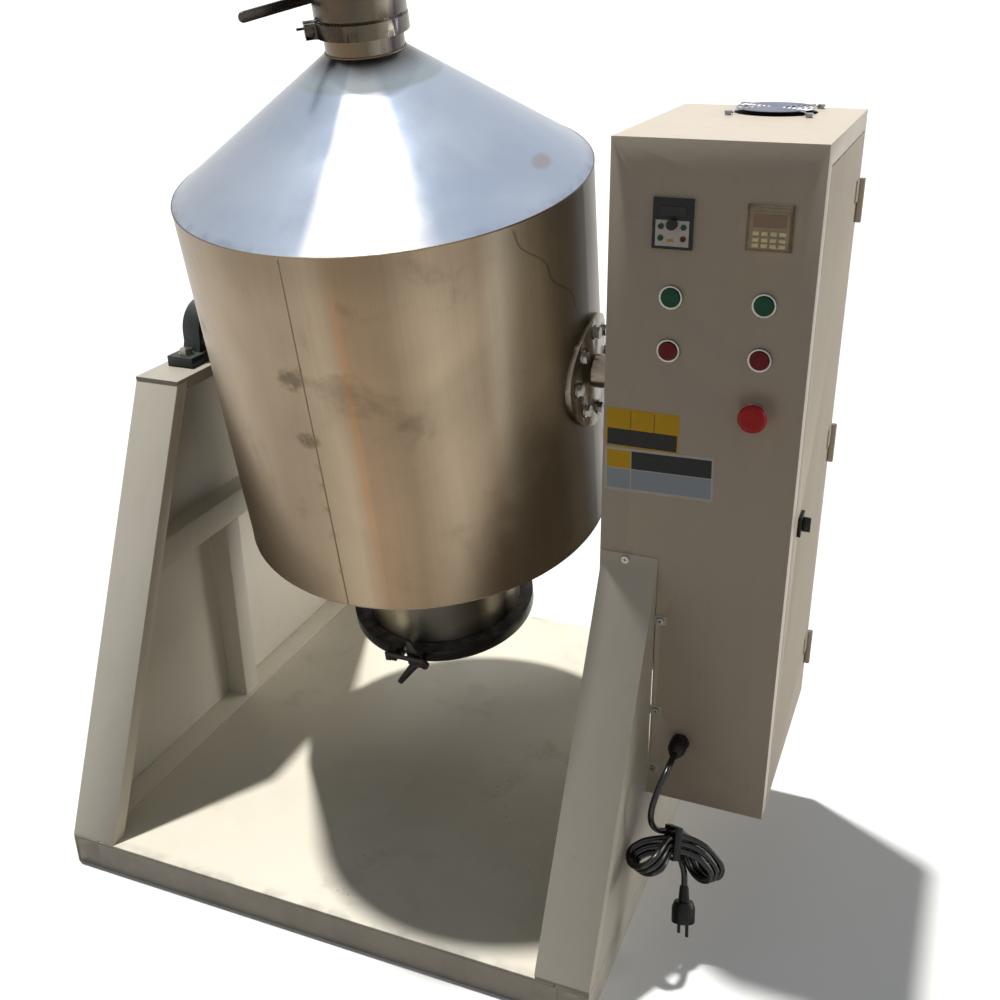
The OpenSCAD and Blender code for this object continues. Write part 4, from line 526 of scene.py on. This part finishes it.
def drum_trim(name, stops, rough=0.28):
    """Bright steel on the drum, coloured by angle round it with soft upright bands of painted
    highlight and painted shade, over the rubbed lines and stains of a curved sheet.
    """
    f = Finish(name, Metallic=1.0)
    place, turn, s, radius = round_drum(f)
    turned = turn + (f.noise(14, 3, place) - 0.5) * 9
    tint = f.ramp((turned + 180) / 360, by_degrees(stops))
    lines = f.noise(1, 4, f.join(turn * 1.4, s * 260, 0)).rise(0.35, 0.75)
    stains = f.noise(30, 5, place, 0.6).rise(0.5, 0.72)
    f.feed("Base Color", f.shaded(tint, lines * 0.16 + stains * 0.24))
    f.feed("Roughness", lines * 0.1 + stains * 0.12 + (rough - 0.06))
    f.bump(lines + f.noise(60, 2, place) * 0.6, 0.00012, 0.5)
    return f.material


def cast_iron(name, colour, dark, rough=0.42):
    """Thick enamel over sand-cast iron: coarse skin, worn high spots, top faces paler and rougher
    in patches.
    """
    f = Finish(name, Specular_IOR_Level=0.35, Coat_Roughness=0.25, Coat_Weight=0.12)
    skin = f.noise(170, 4, None, 0.6)
    worn = f.noise(34, 5, None, 0.65).rise(0.6, 0.72)
    normal = f.add("ShaderNodeNewGeometry", {}, {}, "Normal")
    facing = f.split(normal)[2].rise(0.35, 0.95)
    tint = f.mix(f.noise(12, 3), colour, dark)
    tint = f.mix(worn * 0.25, tint, tone(92, 98, 92))
    tint = f.mix(facing * f.noise(50, 4).rise(0.35, 0.75) * 0.24, tint, tone(128, 130, 126))
    f.feed("Base Color", tint)
    f.feed("Roughness", skin * 0.2 + facing * 0.2 + (rough - 0.1))
    f.bump(skin + f.noise(40, 3) * 0.8, 0.0005, 0.6)
    return f.material


SPARK_DEPTH = 0.08 * MM


def plastic(name, colour, dark, rough=0.38, scale=60, sheen=0.5, coat=0.0):
    """Moulded plastic: a fine spark texture, rubbed and dusty places."""
    f = Finish(name, Coat_Weight=coat, Coat_Roughness=0.12, Specular_IOR_Level=sheen)
    clouds = f.noise(scale, 3).rise(0.35, 0.72)
    dust = f.noise(scale * 0.6, 5, None, 0.65).rise(0.55, 0.75)
    tint = f.mix(clouds * 0.7, colour, dark)
    f.feed("Base Color", f.mix(dust * 0.07, tint, tone(176, 172, 162)))
    f.feed("Roughness", dust * 0.14 + clouds * 0.06 + (rough - 0.05))
    f.bump(f.noise(scale * 18, 2), SPARK_DEPTH, 0.6)
    return f.material


def rubber_cord():
    """Glossy black sheath, worn in places, with a fine uneven skin."""
    f = Finish("cord_sheath", Coat_Weight=0.14, Coat_Roughness=0.14, Specular_IOR_Level=0.3)
    worn = f.noise(70, 4).rise(0.45, 0.75)
    f.feed("Base Color", f.mix(worn, tone(14, 15, 15), tone(27, 27, 26)))
    f.feed("Roughness", worn * 0.16 + 0.22)
    f.bump(f.noise(140, 3) + f.noise(900, 2) * 0.2, 0.0004, 0.5)
    return f.material


def clear_plastic():
    """The flip cover: clear moulding, a little yellowed, hazy in places."""
    f = Finish("flip_cover_clear", Transmission_Weight=0.96, IOR=1.2)
    haze = f.noise(90, 4).rise(0.4, 0.75)
    f.feed("Base Color", f.mix(haze * 0.5, tone(232, 228, 214), tone(206, 200, 184)))
    f.feed("Roughness", haze * 0.12 + 0.07)
    f.bump(f.noise(240, 2), 0.00004, 0.4)
    return f.material


def bare_plate(name, middle, lean, ground, fields):
    """A printed plate without words: fields of colour, each given by its reach across and up
    from the plate's middle in millimetres."""
    f = Finish(name, Specular_IOR_Level=0.18)
    x, y, z = f.split()
    across, along = math.cos(lean), math.sin(lean)
    u = ((x - middle[0]) * across + (z - middle[1]) * along) * 1000
    w = ((z - middle[1]) * across - (x - middle[0]) * along) * 1000
    tint = f.mix(f.noise(40, 3).rise(0.4, 0.7) * 0.3, ground, f.shade_of(ground))
    for low_u, high_u, low_w, high_w, colour in fields:
        inside = (u.rise(low_u - 0.25, low_u + 0.25) * u.fall(high_u - 0.25, high_u + 0.25)
                  * w.rise(low_w - 0.25, low_w + 0.25) * w.fall(high_w - 0.25, high_w + 0.25))
        tint = f.mix(inside, tint, colour)
    dust = f.noise(60, 5, None, 0.65).rise(0.54, 0.74)
    f.feed("Base Color", f.mix(dust * 0.06, tint, tone(150, 142, 128)))
    f.feed("Roughness", dust * 0.2 + 0.34)
    f.bump(f.noise(260, 2), 0.00005, 0.4)
    return f.material


# By angle round the drum: a painted highlight at 62 degrees with painted shade beside it at 74
TRIM_STOPS = [
    (-180, tone(128, 121, 110)), (-80, tone(86, 82, 76)), (-42, tone(72, 66, 61)),
    (-20, tone(84, 73, 60)), (6, tone(78, 67, 56)), (22, tone(70, 64, 56)),
    (44, tone(86, 79, 66)), (62, tone(146, 140, 128)), (74, tone(66, 64, 71)),
    (100, tone(124, 118, 107)), (180, tone(128, 121, 110))]

FINISHES = {
    "frame_paint": painted("frame_enamel", tone(220, 214, 200), tone(204, 198, 184)),
    "cap_paint": painted("cap_enamel", tone(188, 182, 170), tone(164, 158, 146), 0.5, 0.9),
    "cabinet_paint": painted("cabinet_enamel", tone(207, 196, 180), tone(192, 180, 162)),
    "door_paint": painted("door_enamel", tone(224, 216, 200), tone(206, 196, 178), 0.6, 0.5, 0.1),
    "inner_paint": painted("inner_enamel", tone(198, 194, 182), tone(180, 175, 162)),
    "deck": deck_paint(),
    "drum": drum_steel(),
    "trim": drum_trim("neck_steel", TRIM_STOPS),
    "pad": steel("pad_steel", tone(130, 121, 108), tone(80, 74, 66), 0.28, 26, (12, 12, 1)),
    "shaft": steel("turned_shaft", tone(188, 184, 180), tone(120, 114, 108), 0.22, 60, (14, 1, 1)),
    "bright": steel("bolt_zinc", tone(158, 156, 150), tone(100, 97, 92), 0.32, 120, (1, 1, 1)),
    "chrome": steel("chrome", tone(152, 150, 145), tone(112, 110, 106), 0.3, 80, (1, 1, 1),
                    0.00002),
    # The guard's bluish tone is a painted reflection of the sky
    "guard": steel("guard_chrome", tone(160, 166, 184), tone(104, 108, 122), 0.22, 80, (1, 1, 1),
                   0.00002),
    "lid": steel("lid_steel", tone(168, 162, 150), tone(116, 108, 98), 0.3, 30, (1, 1, 1)),
    "race": steel("race_steel", tone(176, 170, 166), tone(108, 102, 98), 0.24, 90, (12, 1, 1)),
    "sheet": steel("zinc_sheet", tone(170, 174, 176), tone(138, 142, 146), 0.4, 24, (1, 1, 1)),
    "iron": cast_iron("bearing_enamel", tone(26, 38, 33), tone(12, 18, 16)),
    "hoop": cast_iron("hoop_enamel", tone(34, 33, 34), tone(16, 16, 17), 0.4),
    "gear": cast_iron("gear_enamel", tone(108, 116, 122), tone(84, 92, 98)),
    "motor": cast_iron("motor_enamel", tone(74, 92, 104), tone(54, 70, 82)),
    "device_grey": plastic("contact_grey", tone(206, 204, 196), tone(184, 182, 172)),
    "device_black": plastic("case_black", tone(24, 24, 25), tone(14, 14, 15), 0.42, 90, 0.2),
    "timer": plastic("timer_case", tone(124, 110, 90), tone(102, 90, 72), 0.36, 90, 0.2),
    "green": plastic("cap_green", tone(12, 84, 54), tone(7, 60, 38), 0.4, 70, 0.18),
    "red": plastic("cap_red", tone(124, 20, 30), tone(88, 12, 20), 0.4, 70, 0.18),
    "stop": plastic("stop_red", tone(206, 26, 30), tone(184, 18, 22), 0.38, 50, 0.2, 0.05),
    "latch": plastic("latch_black", tone(20, 19, 18), tone(12, 11, 11), 0.38, 80, 0.2),
    "gasket": plastic("gasket_rubber", tone(40, 38, 36), tone(24, 23, 22), 0.62, 50),
    "cord": rubber_cord(),
    "gland": plastic("gland_black", tone(18, 17, 17), tone(10, 9, 10), 0.4, 70, 0.2),
    "tie": plastic("tie_black", tone(20, 20, 20), tone(12, 12, 12), 0.36, 70, 0.2),
    "clear": clear_plastic(),
    "window": plastic("window_black", tone(36, 37, 38), tone(24, 25, 27), 0.3, 60, 0.2),
    "window_brown": plastic("window_brown", tone(104, 72, 56), tone(72, 48, 38), 0.3, 60, 0.2),
    "key_field": plastic("key_field", tone(232, 232, 226), tone(210, 210, 204), 0.4, 70),
    "key_dark": plastic("key_dark", tone(44, 72, 60), tone(28, 48, 40), 0.36, 80, 0.2),
    "key_cream": plastic("key_cream", tone(186, 174, 148), tone(158, 148, 124), 0.4, 80),
    "mark": plastic("mark_yellow", tone(206, 168, 40), tone(170, 134, 26), 0.4, 80),
    "weld": drum_trim("weld_steel", [(-180, tone(128, 118, 104)), (-40, tone(112, 98, 82)),
                                     (0, tone(104, 88, 70)), (60, tone(96, 86, 74)),
                                     (180, tone(128, 118, 104))], 0.42),
    "edge": drum_trim("edge_steel", [(-180, tone(120, 112, 102)), (-40, tone(86, 76, 66)),
                                     (10, tone(150, 136, 116)), (60, tone(92, 84, 76)),
                                     (180, tone(120, 112, 102))], 0.36),
    "weld_painted": painted("weld_enamel", tone(176, 170, 156), tone(146, 140, 126), 0.5, 0.9),
}

WORN_BY = {
    "frame_paint": ["base_frame", "leg_tubes", "crossbars", "struts", "side_panels",
                    "end_covers"],
    "cap_paint": ["frame_caps"],
    "cabinet_paint": ["cabinet_shell"],
    "inner_paint": ["drive_plate"],
    "deck": ["floor_plates"],
    "door_paint": ["cabinet_door", "hinge_leaves"],
    "iron": ["pillow_blocks"],
    "race": ["bearing_races", "bearing_inner_rings"],
    "drum": ["drum_shell"],
    "lid": ["feed_lid"],
    "pad": ["trunnion_hubs"],
    "shaft": ["trunnion_shafts"],
    "trim": ["neck_clamp", "valve_body", "valve_disc", "valve_handle"],
    "bright": ["panel_screws", "bearing_bolts", "drive_bolts", "trunnion_bolts"],
    "sheet": ["mounting_plate"],
    "gear": ["gearbox"],
    "motor": ["motor", "motor_cowl"],
    "device_grey": ["contactors", "contact_blocks"],
    "device_black": ["inverter", "inverter_knob", "fan_frame", "fan_rotor"],
    "timer": ["timer"],
    "clear": ["timer_cover"],
    "chrome": ["button_bezels", "estop_collar"],
    "guard": ["fan_guard"],
    "green": ["green_button_left", "green_button_right"],
    "red": ["red_button_left", "red_button_right"],
    "stop": ["estop_head"],
    "latch": ["estop_stem", "door_latch", "latch_cam"],
    "hoop": ["hoop_left", "hoop_right", "draw_link", "latch_lever"],
    "gasket": ["lid_gasket"],
    "cord": ["cord_lead", "cord_hank"],
    "gland": ["cable_gland", "cord_plug"],
    "tie": ["cord_tie"],
}

for finish_name, names in WORN_BY.items():
    for name in names:
        materials = frame["nodes"][name].data.materials
        materials.clear()
        materials.append(FINISHES[finish_name])
supply_cord.data.materials.append(FINISHES["cord"])


# ---------------------------------------------------------------- ways of making pieces

def settle(piece, body, finish):
    """A finished piece's place goes into its mesh. It gets its finish and its body."""
    bpy.ops.object.select_all(action="DESELECT")
    piece.select_set(True)
    bpy.context.view_layer.objects.active = piece
    bpy.ops.object.transform_apply(location=True, rotation=True, scale=True)
    if finish:
        piece.data.materials.clear()
        piece.data.materials.append(FINISHES[finish])
    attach(piece, body)
    piece.select_set(False)
    return piece


def finish_with(piece, kind, **settings):
    """Adds a modifier and applies it."""
    bpy.context.view_layer.objects.active = piece
    modifier = piece.modifiers.new(kind.lower(), kind)
    for name, value in settings.items():
        setattr(modifier, name, value)
    bpy.ops.object.modifier_apply(modifier=modifier.name)
    return piece


def smooth(piece, limit=SMOOTH_LIMIT):
    bpy.ops.object.select_all(action="DESELECT")
    piece.select_set(True)
    bpy.context.view_layer.objects.active = piece
    bpy.ops.object.shade_smooth_by_angle(angle=limit)
    piece.select_set(False)


def edit(piece):
    """Opens the piece in edit mode with nothing selected."""
    bpy.ops.object.select_all(action="DESELECT")
    piece.select_set(True)
    bpy.context.view_layer.objects.active = piece
    bpy.ops.object.mode_set(mode="EDIT")
    bpy.ops.mesh.select_mode(type="FACE")
    bpy.ops.mesh.select_all(action="DESELECT")


def pick(piece, test):
    """Selects, in edit mode, the faces whose middle and normal pass the test."""
    bpy.ops.object.mode_set(mode="OBJECT")
    for polygon in piece.data.polygons:
        polygon.select = test(polygon.center, polygon.normal)
    bpy.ops.object.mode_set(mode="EDIT")


def close():
    bpy.ops.object.mode_set(mode="OBJECT")


def reach(mesh):
    """The lowest and the highest corner of a mesh."""
    places = [v.co for v in mesh.vertices]
    return [(min(p[i] for p in places), max(p[i] for p in places)) for i in range(3)]


def outside(mesh, limits, slack=0.3 * MM):
    return any(low < least - slack or high > most + slack
               for (low, high), (least, most) in zip(reach(mesh), limits))


def softened(node, width, segments=2, angle=35):
    """A piece that stands for a CAD node, with its edges rounded as on the real one. Where the
    rounding would leave stray points, it is made again narrower."""
    source = frame["nodes"][node]
    limits = reach(source.data)
    for share in (1, 0.6, 0.3, 0.1):
        piece = bpy.data.objects.new("made_" + node, source.data.copy())
        bpy.context.scene.collection.objects.link(piece)
        edit(piece)
        bpy.ops.mesh.select_all(action="SELECT")
        bpy.ops.mesh.remove_doubles(threshold=0.02 * MM)
        if share > 0.3:
            bpy.ops.mesh.dissolve_limited(angle_limit=math.radians(0.5))
        close()
        finish_with(piece, "BEVEL", width=width * share, segments=segments,
                    limit_method="ANGLE", angle_limit=math.radians(angle),
                    use_clamp_overlap=True, harden_normals=False)
        if not outside(piece.data, limits):
            break
        bpy.data.objects.remove(piece)
    smooth(piece)
    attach(piece, source["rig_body"])
    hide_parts(node)
    return piece


# Sheet folds, tube corners and cast edges, each with the radius that its maker leaves
EDGE_RADII = {
    "base_frame": 3.0, "leg_tubes": 2.6, "frame_caps": 1.2, "crossbars": 2.6, "struts": 2.6,
    "side_panels": 0.7, "end_covers": 1.0, "cabinet_shell": 1.6, "cabinet_door": 1.2,
    "floor_plates": 1.0, "pillow_blocks": 4.0, "latch_cam": 1.0, "door_latch": 1.2,
    "hoop_left": 1.1, "hoop_right": 1.1, "latch_lever": 0.8, "draw_link": 0.7,
    "estop_head": 1.6, "inverter_knob": 0.8, "cable_gland": 1.0, "cord_tie": 0.9,
    "cord_plug": 1.6, "green_button_left": 0.8, "green_button_right": 0.8,
    "red_button_left": 0.8, "red_button_right": 0.8, "button_bezels": 0.7,
    "estop_collar": 0.8, "bearing_races": 0.8, "bearing_inner_rings": 1.0,
    "neck_clamp": 0.8, "valve_body": 1.2, "valve_handle": 0.9, "feed_lid": 0.8,
    "trunnion_hubs": 0.9,
}
for node, radius in EDGE_RADII.items():
    softened(node, radius * MM)


# ---------------------------------------------------------------- plates and faces

def block(name, low, high, rounding, segments=2):
    """A block between two corners with rounded edges."""
    bpy.ops.object.select_all(action="DESELECT")
    middle = [(a + b) / 2 for a, b in zip(low, high)]
    bpy.ops.mesh.primitive_cube_add(size=1, location=middle)
    piece = bpy.context.object
    piece.name = name
    piece.scale = [b - a for a, b in zip(low, high)]
    bpy.ops.object.transform_apply(location=True, rotation=False, scale=True)
    finish_with(piece, "BEVEL", width=rounding, segments=segments, limit_method="ANGLE")
    smooth(piece)
    return piece


def front_face(piece, inset, depth):
    """The face towards the operator is set in by an inset, and moved out by a depth."""
    edit(piece)
    nearest = min(p.center.y for p in piece.data.polygons)
    pick(piece, lambda place, normal: normal.y < -0.9 and place.y < nearest + 0.05 * MM)
    bpy.ops.mesh.inset(thickness=inset)
    bpy.ops.mesh.extrude_region_move(TRANSFORM_OT_translate={"value": (0, -depth, 0)})
    close()
    smooth(piece)


def knob(name, place, radius, height, turn, rounding):
    """A round key or cap that stands on a place, with its rim rounded and its top set in."""
    bpy.ops.object.select_all(action="DESELECT")
    bpy.ops.mesh.primitive_cylinder_add(vertices=40, radius=radius, depth=height,
                                        location=(0, 0, height / 2))
    piece = bpy.context.object
    piece.name = name
    bpy.ops.object.transform_apply(location=True)
    edit(piece)
    pick(piece, lambda middle, normal: normal.z > 0.9)
    bpy.ops.mesh.inset(thickness=radius * 0.3)
    bpy.ops.mesh.extrude_region_move(TRANSFORM_OT_translate={"value": (0, 0, -height * 0.12)})
    close()
    finish_with(piece, "BEVEL", width=rounding, segments=2, limit_method="ANGLE")
    piece.rotation_euler = turn
    piece.location = place
    smooth(piece)
    return piece


def together(pieces):
    """The first of the pieces, with all the others joined to it."""
    bpy.ops.object.select_all(action="DESELECT")
    for piece in pieces:
        piece.select_set(True)
    bpy.context.view_layer.objects.active = pieces[0]
    bpy.ops.object.join()
    return pieces[0]


TO_OPERATOR = (math.pi / 2, 0, 0)
cab_low, cab_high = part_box("cabinet_shell")
FRONT_Y = cab_low[1]
LABEL_T = 0.5 * MM

YELLOW = tone(246, 198, 48)
INK = tone(30, 30, 31)
FIELD_BLUE = tone(186, 201, 216)
PAPER = tone(236, 234, 228)


def add_plate(name, left, down, width, height, lean, ground, fields):
    """A plate on the cabinet's front, by its distances from the cabinet's upper left corner."""
    middle = (cab_low[0] + left + width / 2, cab_high[2] - down - height / 2)
    FINISHES[name] = bare_plate(name, middle, lean, ground, fields)
    piece = block(name, (-width / 2, -LABEL_T, -height / 2), (width / 2, 0, height / 2),
                  0.2 * MM)
    front_face(piece, 0.9 * MM, 0.12 * MM)
    piece.rotation_euler = (0, -lean, 0)
    piece.location = (middle[0], FRONT_Y, middle[1])
    return settle(piece, "stand", name)


add_plate("plate_upper", 4 * MM, 338.5 * MM, 97 * MM, 53 * MM, 0, YELLOW, [
    (-46.5, 46.5, -24.5, -1.5, INK), (-16.2, -15.4, -1.5, 24, INK), (15.4, 16.2, -1.5, 24, INK)])
add_plate("plate_lower", 3 * MM, 391.5 * MM, 147 * MM, 62 * MM, math.radians(1.2), PAPER, [
    (-70, -37.5, 2, 27, YELLOW), (-36.5, 70, 2, 27, INK), (-70, -38, -27, 0.8, FIELD_BLUE),
    (-36.5, 70, -27, 0.8, FIELD_BLUE)])

# The display unit's face: window, lower field, keys and a mark
inv_low, inv_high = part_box("inverter")
inv_x, inv_z = (inv_low[0] + inv_high[0]) / 2, (inv_low[2] + inv_high[2]) / 2
FACE_Y = FRONT_Y - 4 * MM


def on_display(name, x0, x1, z0, z1, thick, finish, rounding=0.4 * MM):
    piece = block(name, (inv_x + x0 * MM, FACE_Y - thick, inv_z + z0 * MM),
                  (inv_x + x1 * MM, FACE_Y, inv_z + z1 * MM), rounding)
    front_face(piece, 0.6 * MM, -0.25 * MM)
    return settle(piece, "stand", finish)


on_display("display_window", -17, 17, 9, 21, 0.9 * MM, "window")
on_display("display_field", -20.5, 20.5, -26.5, 4.5, 0.4 * MM, "key_field",
           0.15 * MM)
for name, x, z, finish, slot_name in (
        ("key_menu", -13.8, -3.2, "key_dark", "device_black"),
        ("key_set", -13.8, -17, "key_dark", "device_black"),
        ("key_run", 13.8, -3.2, "green", "green_cap"),
        ("key_stop", 13.8, -17, "red", "red_cap")):
    key = knob(name, (inv_x + x * MM, FACE_Y - 0.3 * MM, inv_z + z * MM), 3.4 * MM, 1.6 * MM,
               TO_OPERATOR, 0.3 * MM)
    settle(key, "stand", finish)
on_display("display_mark", -5.5, 1.8, -21.5, -18, 0.8 * MM, "mark", 0.2 * MM)

# The timer's face under its clear cover: window and three rows of keys
timer_low, timer_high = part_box("timer")
timer_x = (timer_low[0] + timer_high[0]) / 2
timer_z = inv_z
TIMER_Y = FRONT_Y - 3 * MM


def on_timer(name, x0, x1, z0, z1, thick, finish, rounding=0.35 * MM):
    piece = block(name, (timer_x + x0 * MM, TIMER_Y - thick, timer_z + z0 * MM),
                  (timer_x + x1 * MM, TIMER_Y, timer_z + z1 * MM), rounding)
    front_face(piece, 0.5 * MM, -0.2 * MM)
    return settle(piece, "stand", finish)


on_timer("timer_window", -19, 19, 3, 18, 1.2 * MM, "window_brown")
timer_keys = []
for row, z in enumerate((-4, -11.5, -18)):
    for k in range(4):
        x = -15.5 + k * 10.3
        timer_keys.append(block("timer_key", (timer_x + (x - 3.6) * MM, TIMER_Y - 1.7 * MM,
                                              timer_z + (z - 2.2) * MM),
                                (timer_x + (x + 3.6) * MM, TIMER_Y, timer_z + (z + 2.2) * MM),
                                0.5 * MM))
settle(together(timer_keys), "stand", "key_cream")


# ---------------------------------------------------------------- welds, nipples, painted shade in screw recesses

def rippled(piece, depth, size):
    """The uneven skin of a weld: the piece swells and sinks by a depth, over a size."""
    texture = bpy.data.textures.new(piece.name, "CLOUDS")
    texture.noise_scale = size
    return finish_with(piece, "DISPLACE", texture=texture, strength=depth,
                       texture_coords="LOCAL")


def ring_bead(name, s, radius, half, finish="weld"):
    """A bead round the drum at a height s along its axis."""
    bpy.ops.object.select_all(action="DESELECT")
    bpy.ops.mesh.primitive_torus_add(
        location=DRUM_CENTRE + drum_axes @ Vector((0, 0, s)), rotation=(DRUM_TILT, 0, 0),
        major_radius=radius, minor_radius=half, major_segments=240, minor_segments=8)
    piece = bpy.context.object
    piece.name = name
    rippled(piece, half * 0.5, 5 * MM)
    smooth(piece, math.radians(60))
    return settle(piece, "drum", finish)


ring_bead("bead_upper_rim", DRUM_UP - 0.2 * MM, 0.2995, 1.1 * MM, "edge")
ring_bead("bead_lower_rim", DRUM_DOWN + 0.2 * MM, 0.2995, 1.1 * MM, "edge")
ring_bead("bead_neck", 0.452, 0.0543, 1.6 * MM)
ring_bead("bead_collar", -0.3925, 0.1352, 2.2 * MM)


def scale_bead(name, start, end, half, body, finish, pitch=2.6 * MM):
    """A straight weld of many small scales between two places."""
    run = end - start
    bpy.ops.object.select_all(action="DESELECT")
    bpy.ops.mesh.primitive_uv_sphere_add(segments=8, ring_count=6, radius=1)
    piece = bpy.context.object
    piece.name = name
    piece.scale = (half, half * 0.32, pitch * 1.1)
    bpy.ops.object.transform_apply(scale=True)
    finish_with(piece, "ARRAY", count=int(run.length / pitch), use_relative_offset=False,
                use_constant_offset=True, constant_offset_displace=(0, 0, pitch))
    rippled(piece, half * 0.3, 7 * MM)
    piece.rotation_euler = run.to_track_quat("Z", "Y").to_euler()
    piece.location = start
    smooth(piece, math.radians(60))
    return settle(piece, body, finish)


def on_drum(degrees, radius, s):
    angle = math.radians(degrees)
    return DRUM_CENTRE + drum_axes @ Vector((radius * math.sin(angle),
                                             -radius * math.cos(angle), s))


SEAM_TURN = 0.5
scale_bead("bead_seam", on_drum(SEAM_TURN, 0.3, -0.276), on_drum(SEAM_TURN, 0.3, 0.280),
           1.2 * MM, "drum", "weld")
scale_bead("bead_cone", on_drum(SEAM_TURN + 178, 0.2985, 0.2832),
           on_drum(SEAM_TURN + 178, 0.056, 0.4507), 1.2 * MM, "drum", "weld")

# Welds where the leaning tubes stand on the floor plates
base_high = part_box("base_frame")[1]
deck_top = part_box("floor_plates")[1][2]
for side, name in ((-1, "left"), (1, "right")):
    outer, inner = side * base_high[0], side * (base_high[0] - 80 * MM)
    for end, place in ((-1, "front"), (1, "rear")):
        y = end * (base_high[1] - 30 * MM)
        scale_bead(f"weld_{name}_{place}", Vector((min(outer, inner) + 2 * MM, y, deck_top)),
                   Vector((max(outer, inner) - 2 * MM, y, deck_top)), 2.4 * MM, "stand",
                   "weld_painted")

# The ends of the base's side tubes are closed with a plate that is set in a little
TUBE_WALL, TUBE_REACH, PLATE_IN, PLATE_T = 3 * MM, 47 * MM, 0.6 * MM, 2.5 * MM
for side, name in ((-1, "left"), (1, "right")):
    x_ends = sorted((side * (base_high[0] - TUBE_WALL), side * (base_high[0] - TUBE_REACH)))
    for end, place in ((-1, "front"), (1, "rear")):
        y_ends = sorted((end * (base_high[1] - PLATE_IN),
                         end * (base_high[1] - PLATE_IN - PLATE_T)))
        plate = block(f"tube_end_{name}_{place}", (x_ends[0], y_ends[0], TUBE_WALL),
                      (x_ends[1], y_ends[1], TUBE_REACH), 0.8 * MM)
        settle(plate, "stand", "frame_paint")

# A grease nipple with its green cap on each bearing
block_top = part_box("pillow_blocks")[1][2]
for side, name in ((-1, "left"), (1, "right")):
    x = side * (base_high[0] - 40 * MM)
    top = block_top - 0.6 * MM
    settle(knob(f"nipple_{name}", (x, 0, top), 3.2 * MM, 5 * MM, (0, 0, 0), 0.5 * MM), "stand",
           "bright")
    settle(knob(f"nipple_cap_{name}", (x, 0, top + 3.4 * MM), 4.4 * MM, 6.5 * MM, (0, 0, 0),
                0.9 * MM), "stand", "green")

# Crossed recesses in the heads of the sheet screws at the front, as black crosses set in: painted
# shade in place of the recesses' hollows
recess_shades = []
for x, y, z in ((395, -200.3, 588.4), (448, -199.8, 251), (448, -199.8, 352.4),
                (448, -199.8, 501.8)):
    for wide, tall in ((5.2, 1.1), (1.1, 5.2)):
        recess_shades.append(block("recess_shade", ((x - wide / 2) * MM, (y - 0.06) * MM, (z - tall / 2) * MM),
                              ((x + wide / 2) * MM, (y + 0.8) * MM, (z + tall / 2) * MM),
                              0.05 * MM, 1))
settle(together(recess_shades), "stand", "latch")


# ---------------------------------------------------------------- studio

bpy.ops.mesh.primitive_plane_add(size=120, location=(0, 0, 0))
floor = bpy.context.object
floor.name = "studio_floor"
f = Finish("studio_floor", Specular_IOR_Level=0.1, Roughness=0.9)
seen = f.add("ShaderNodeLightPath", {}, {}, "Is Camera Ray")
path = seen.socket.node.outputs
seen = seen.at_least(Value(f, path["Is Glossy Ray"])).at_least(
    Value(f, path["Is Transmission Ray"]))
f.feed("Base Color", f.mix(seen, tone(102, 90, 75), tone(246, 246, 245)))
floor.data.materials.append(f.material)

world = bpy.data.worlds.new("studio")
bpy.context.scene.world = world
world.use_nodes = True
tree = world.node_tree
background = tree.nodes["Background"]
plain = tree.nodes.new("ShaderNodeBackground")
plain.inputs["Color"].default_value = (1, 1, 1, 1)
plain.inputs["Strength"].default_value = 1
background.inputs["Color"].default_value = (0.78, 0.89, 1, 1)
background.inputs["Strength"].default_value = 0.15
light_path = tree.nodes.new("ShaderNodeLightPath")
either = tree.nodes.new("ShaderNodeMath")
either.operation = "MAXIMUM"
any_of = tree.nodes.new("ShaderNodeMath")
any_of.operation = "MAXIMUM"
tree.links.new(light_path.outputs["Is Camera Ray"], either.inputs[0])
tree.links.new(light_path.outputs["Is Glossy Ray"], either.inputs[1])
tree.links.new(either.outputs[0], any_of.inputs[0])
tree.links.new(light_path.outputs["Is Transmission Ray"], any_of.inputs[1])
chooser = tree.nodes.new("ShaderNodeMixShader")
tree.links.new(any_of.outputs[0], chooser.inputs[0])
tree.links.new(background.outputs[0], chooser.inputs[1])
tree.links.new(plain.outputs[0], chooser.inputs[2])
tree.links.new(chooser.outputs[0], tree.nodes["World Output"].inputs["Surface"])


def lamp(name, towards, strength, angle, colour):
    """A distant soft lamp, whose light travels along a direction."""
    light = bpy.data.lights.new(name, "SUN")
    light.energy = strength
    light.angle = math.radians(angle)
    light.color = colour
    holder = bpy.data.objects.new(name, light)
    holder.rotation_euler = Vector(towards).to_track_quat("-Z", "Y").to_euler()
    bpy.context.scene.collection.objects.link(holder)


lamp("key", (0.22, -0.11, -1), 3.6, 2.5, (1, 0.985, 0.955))
lamp("rim_fill", (-0.8, -0.55, -0.28), 1.25, 30, (1, 0.97, 0.93))

bpy.context.scene.view_settings.view_transform = "Standard"

bpy.context.view_layer.update()
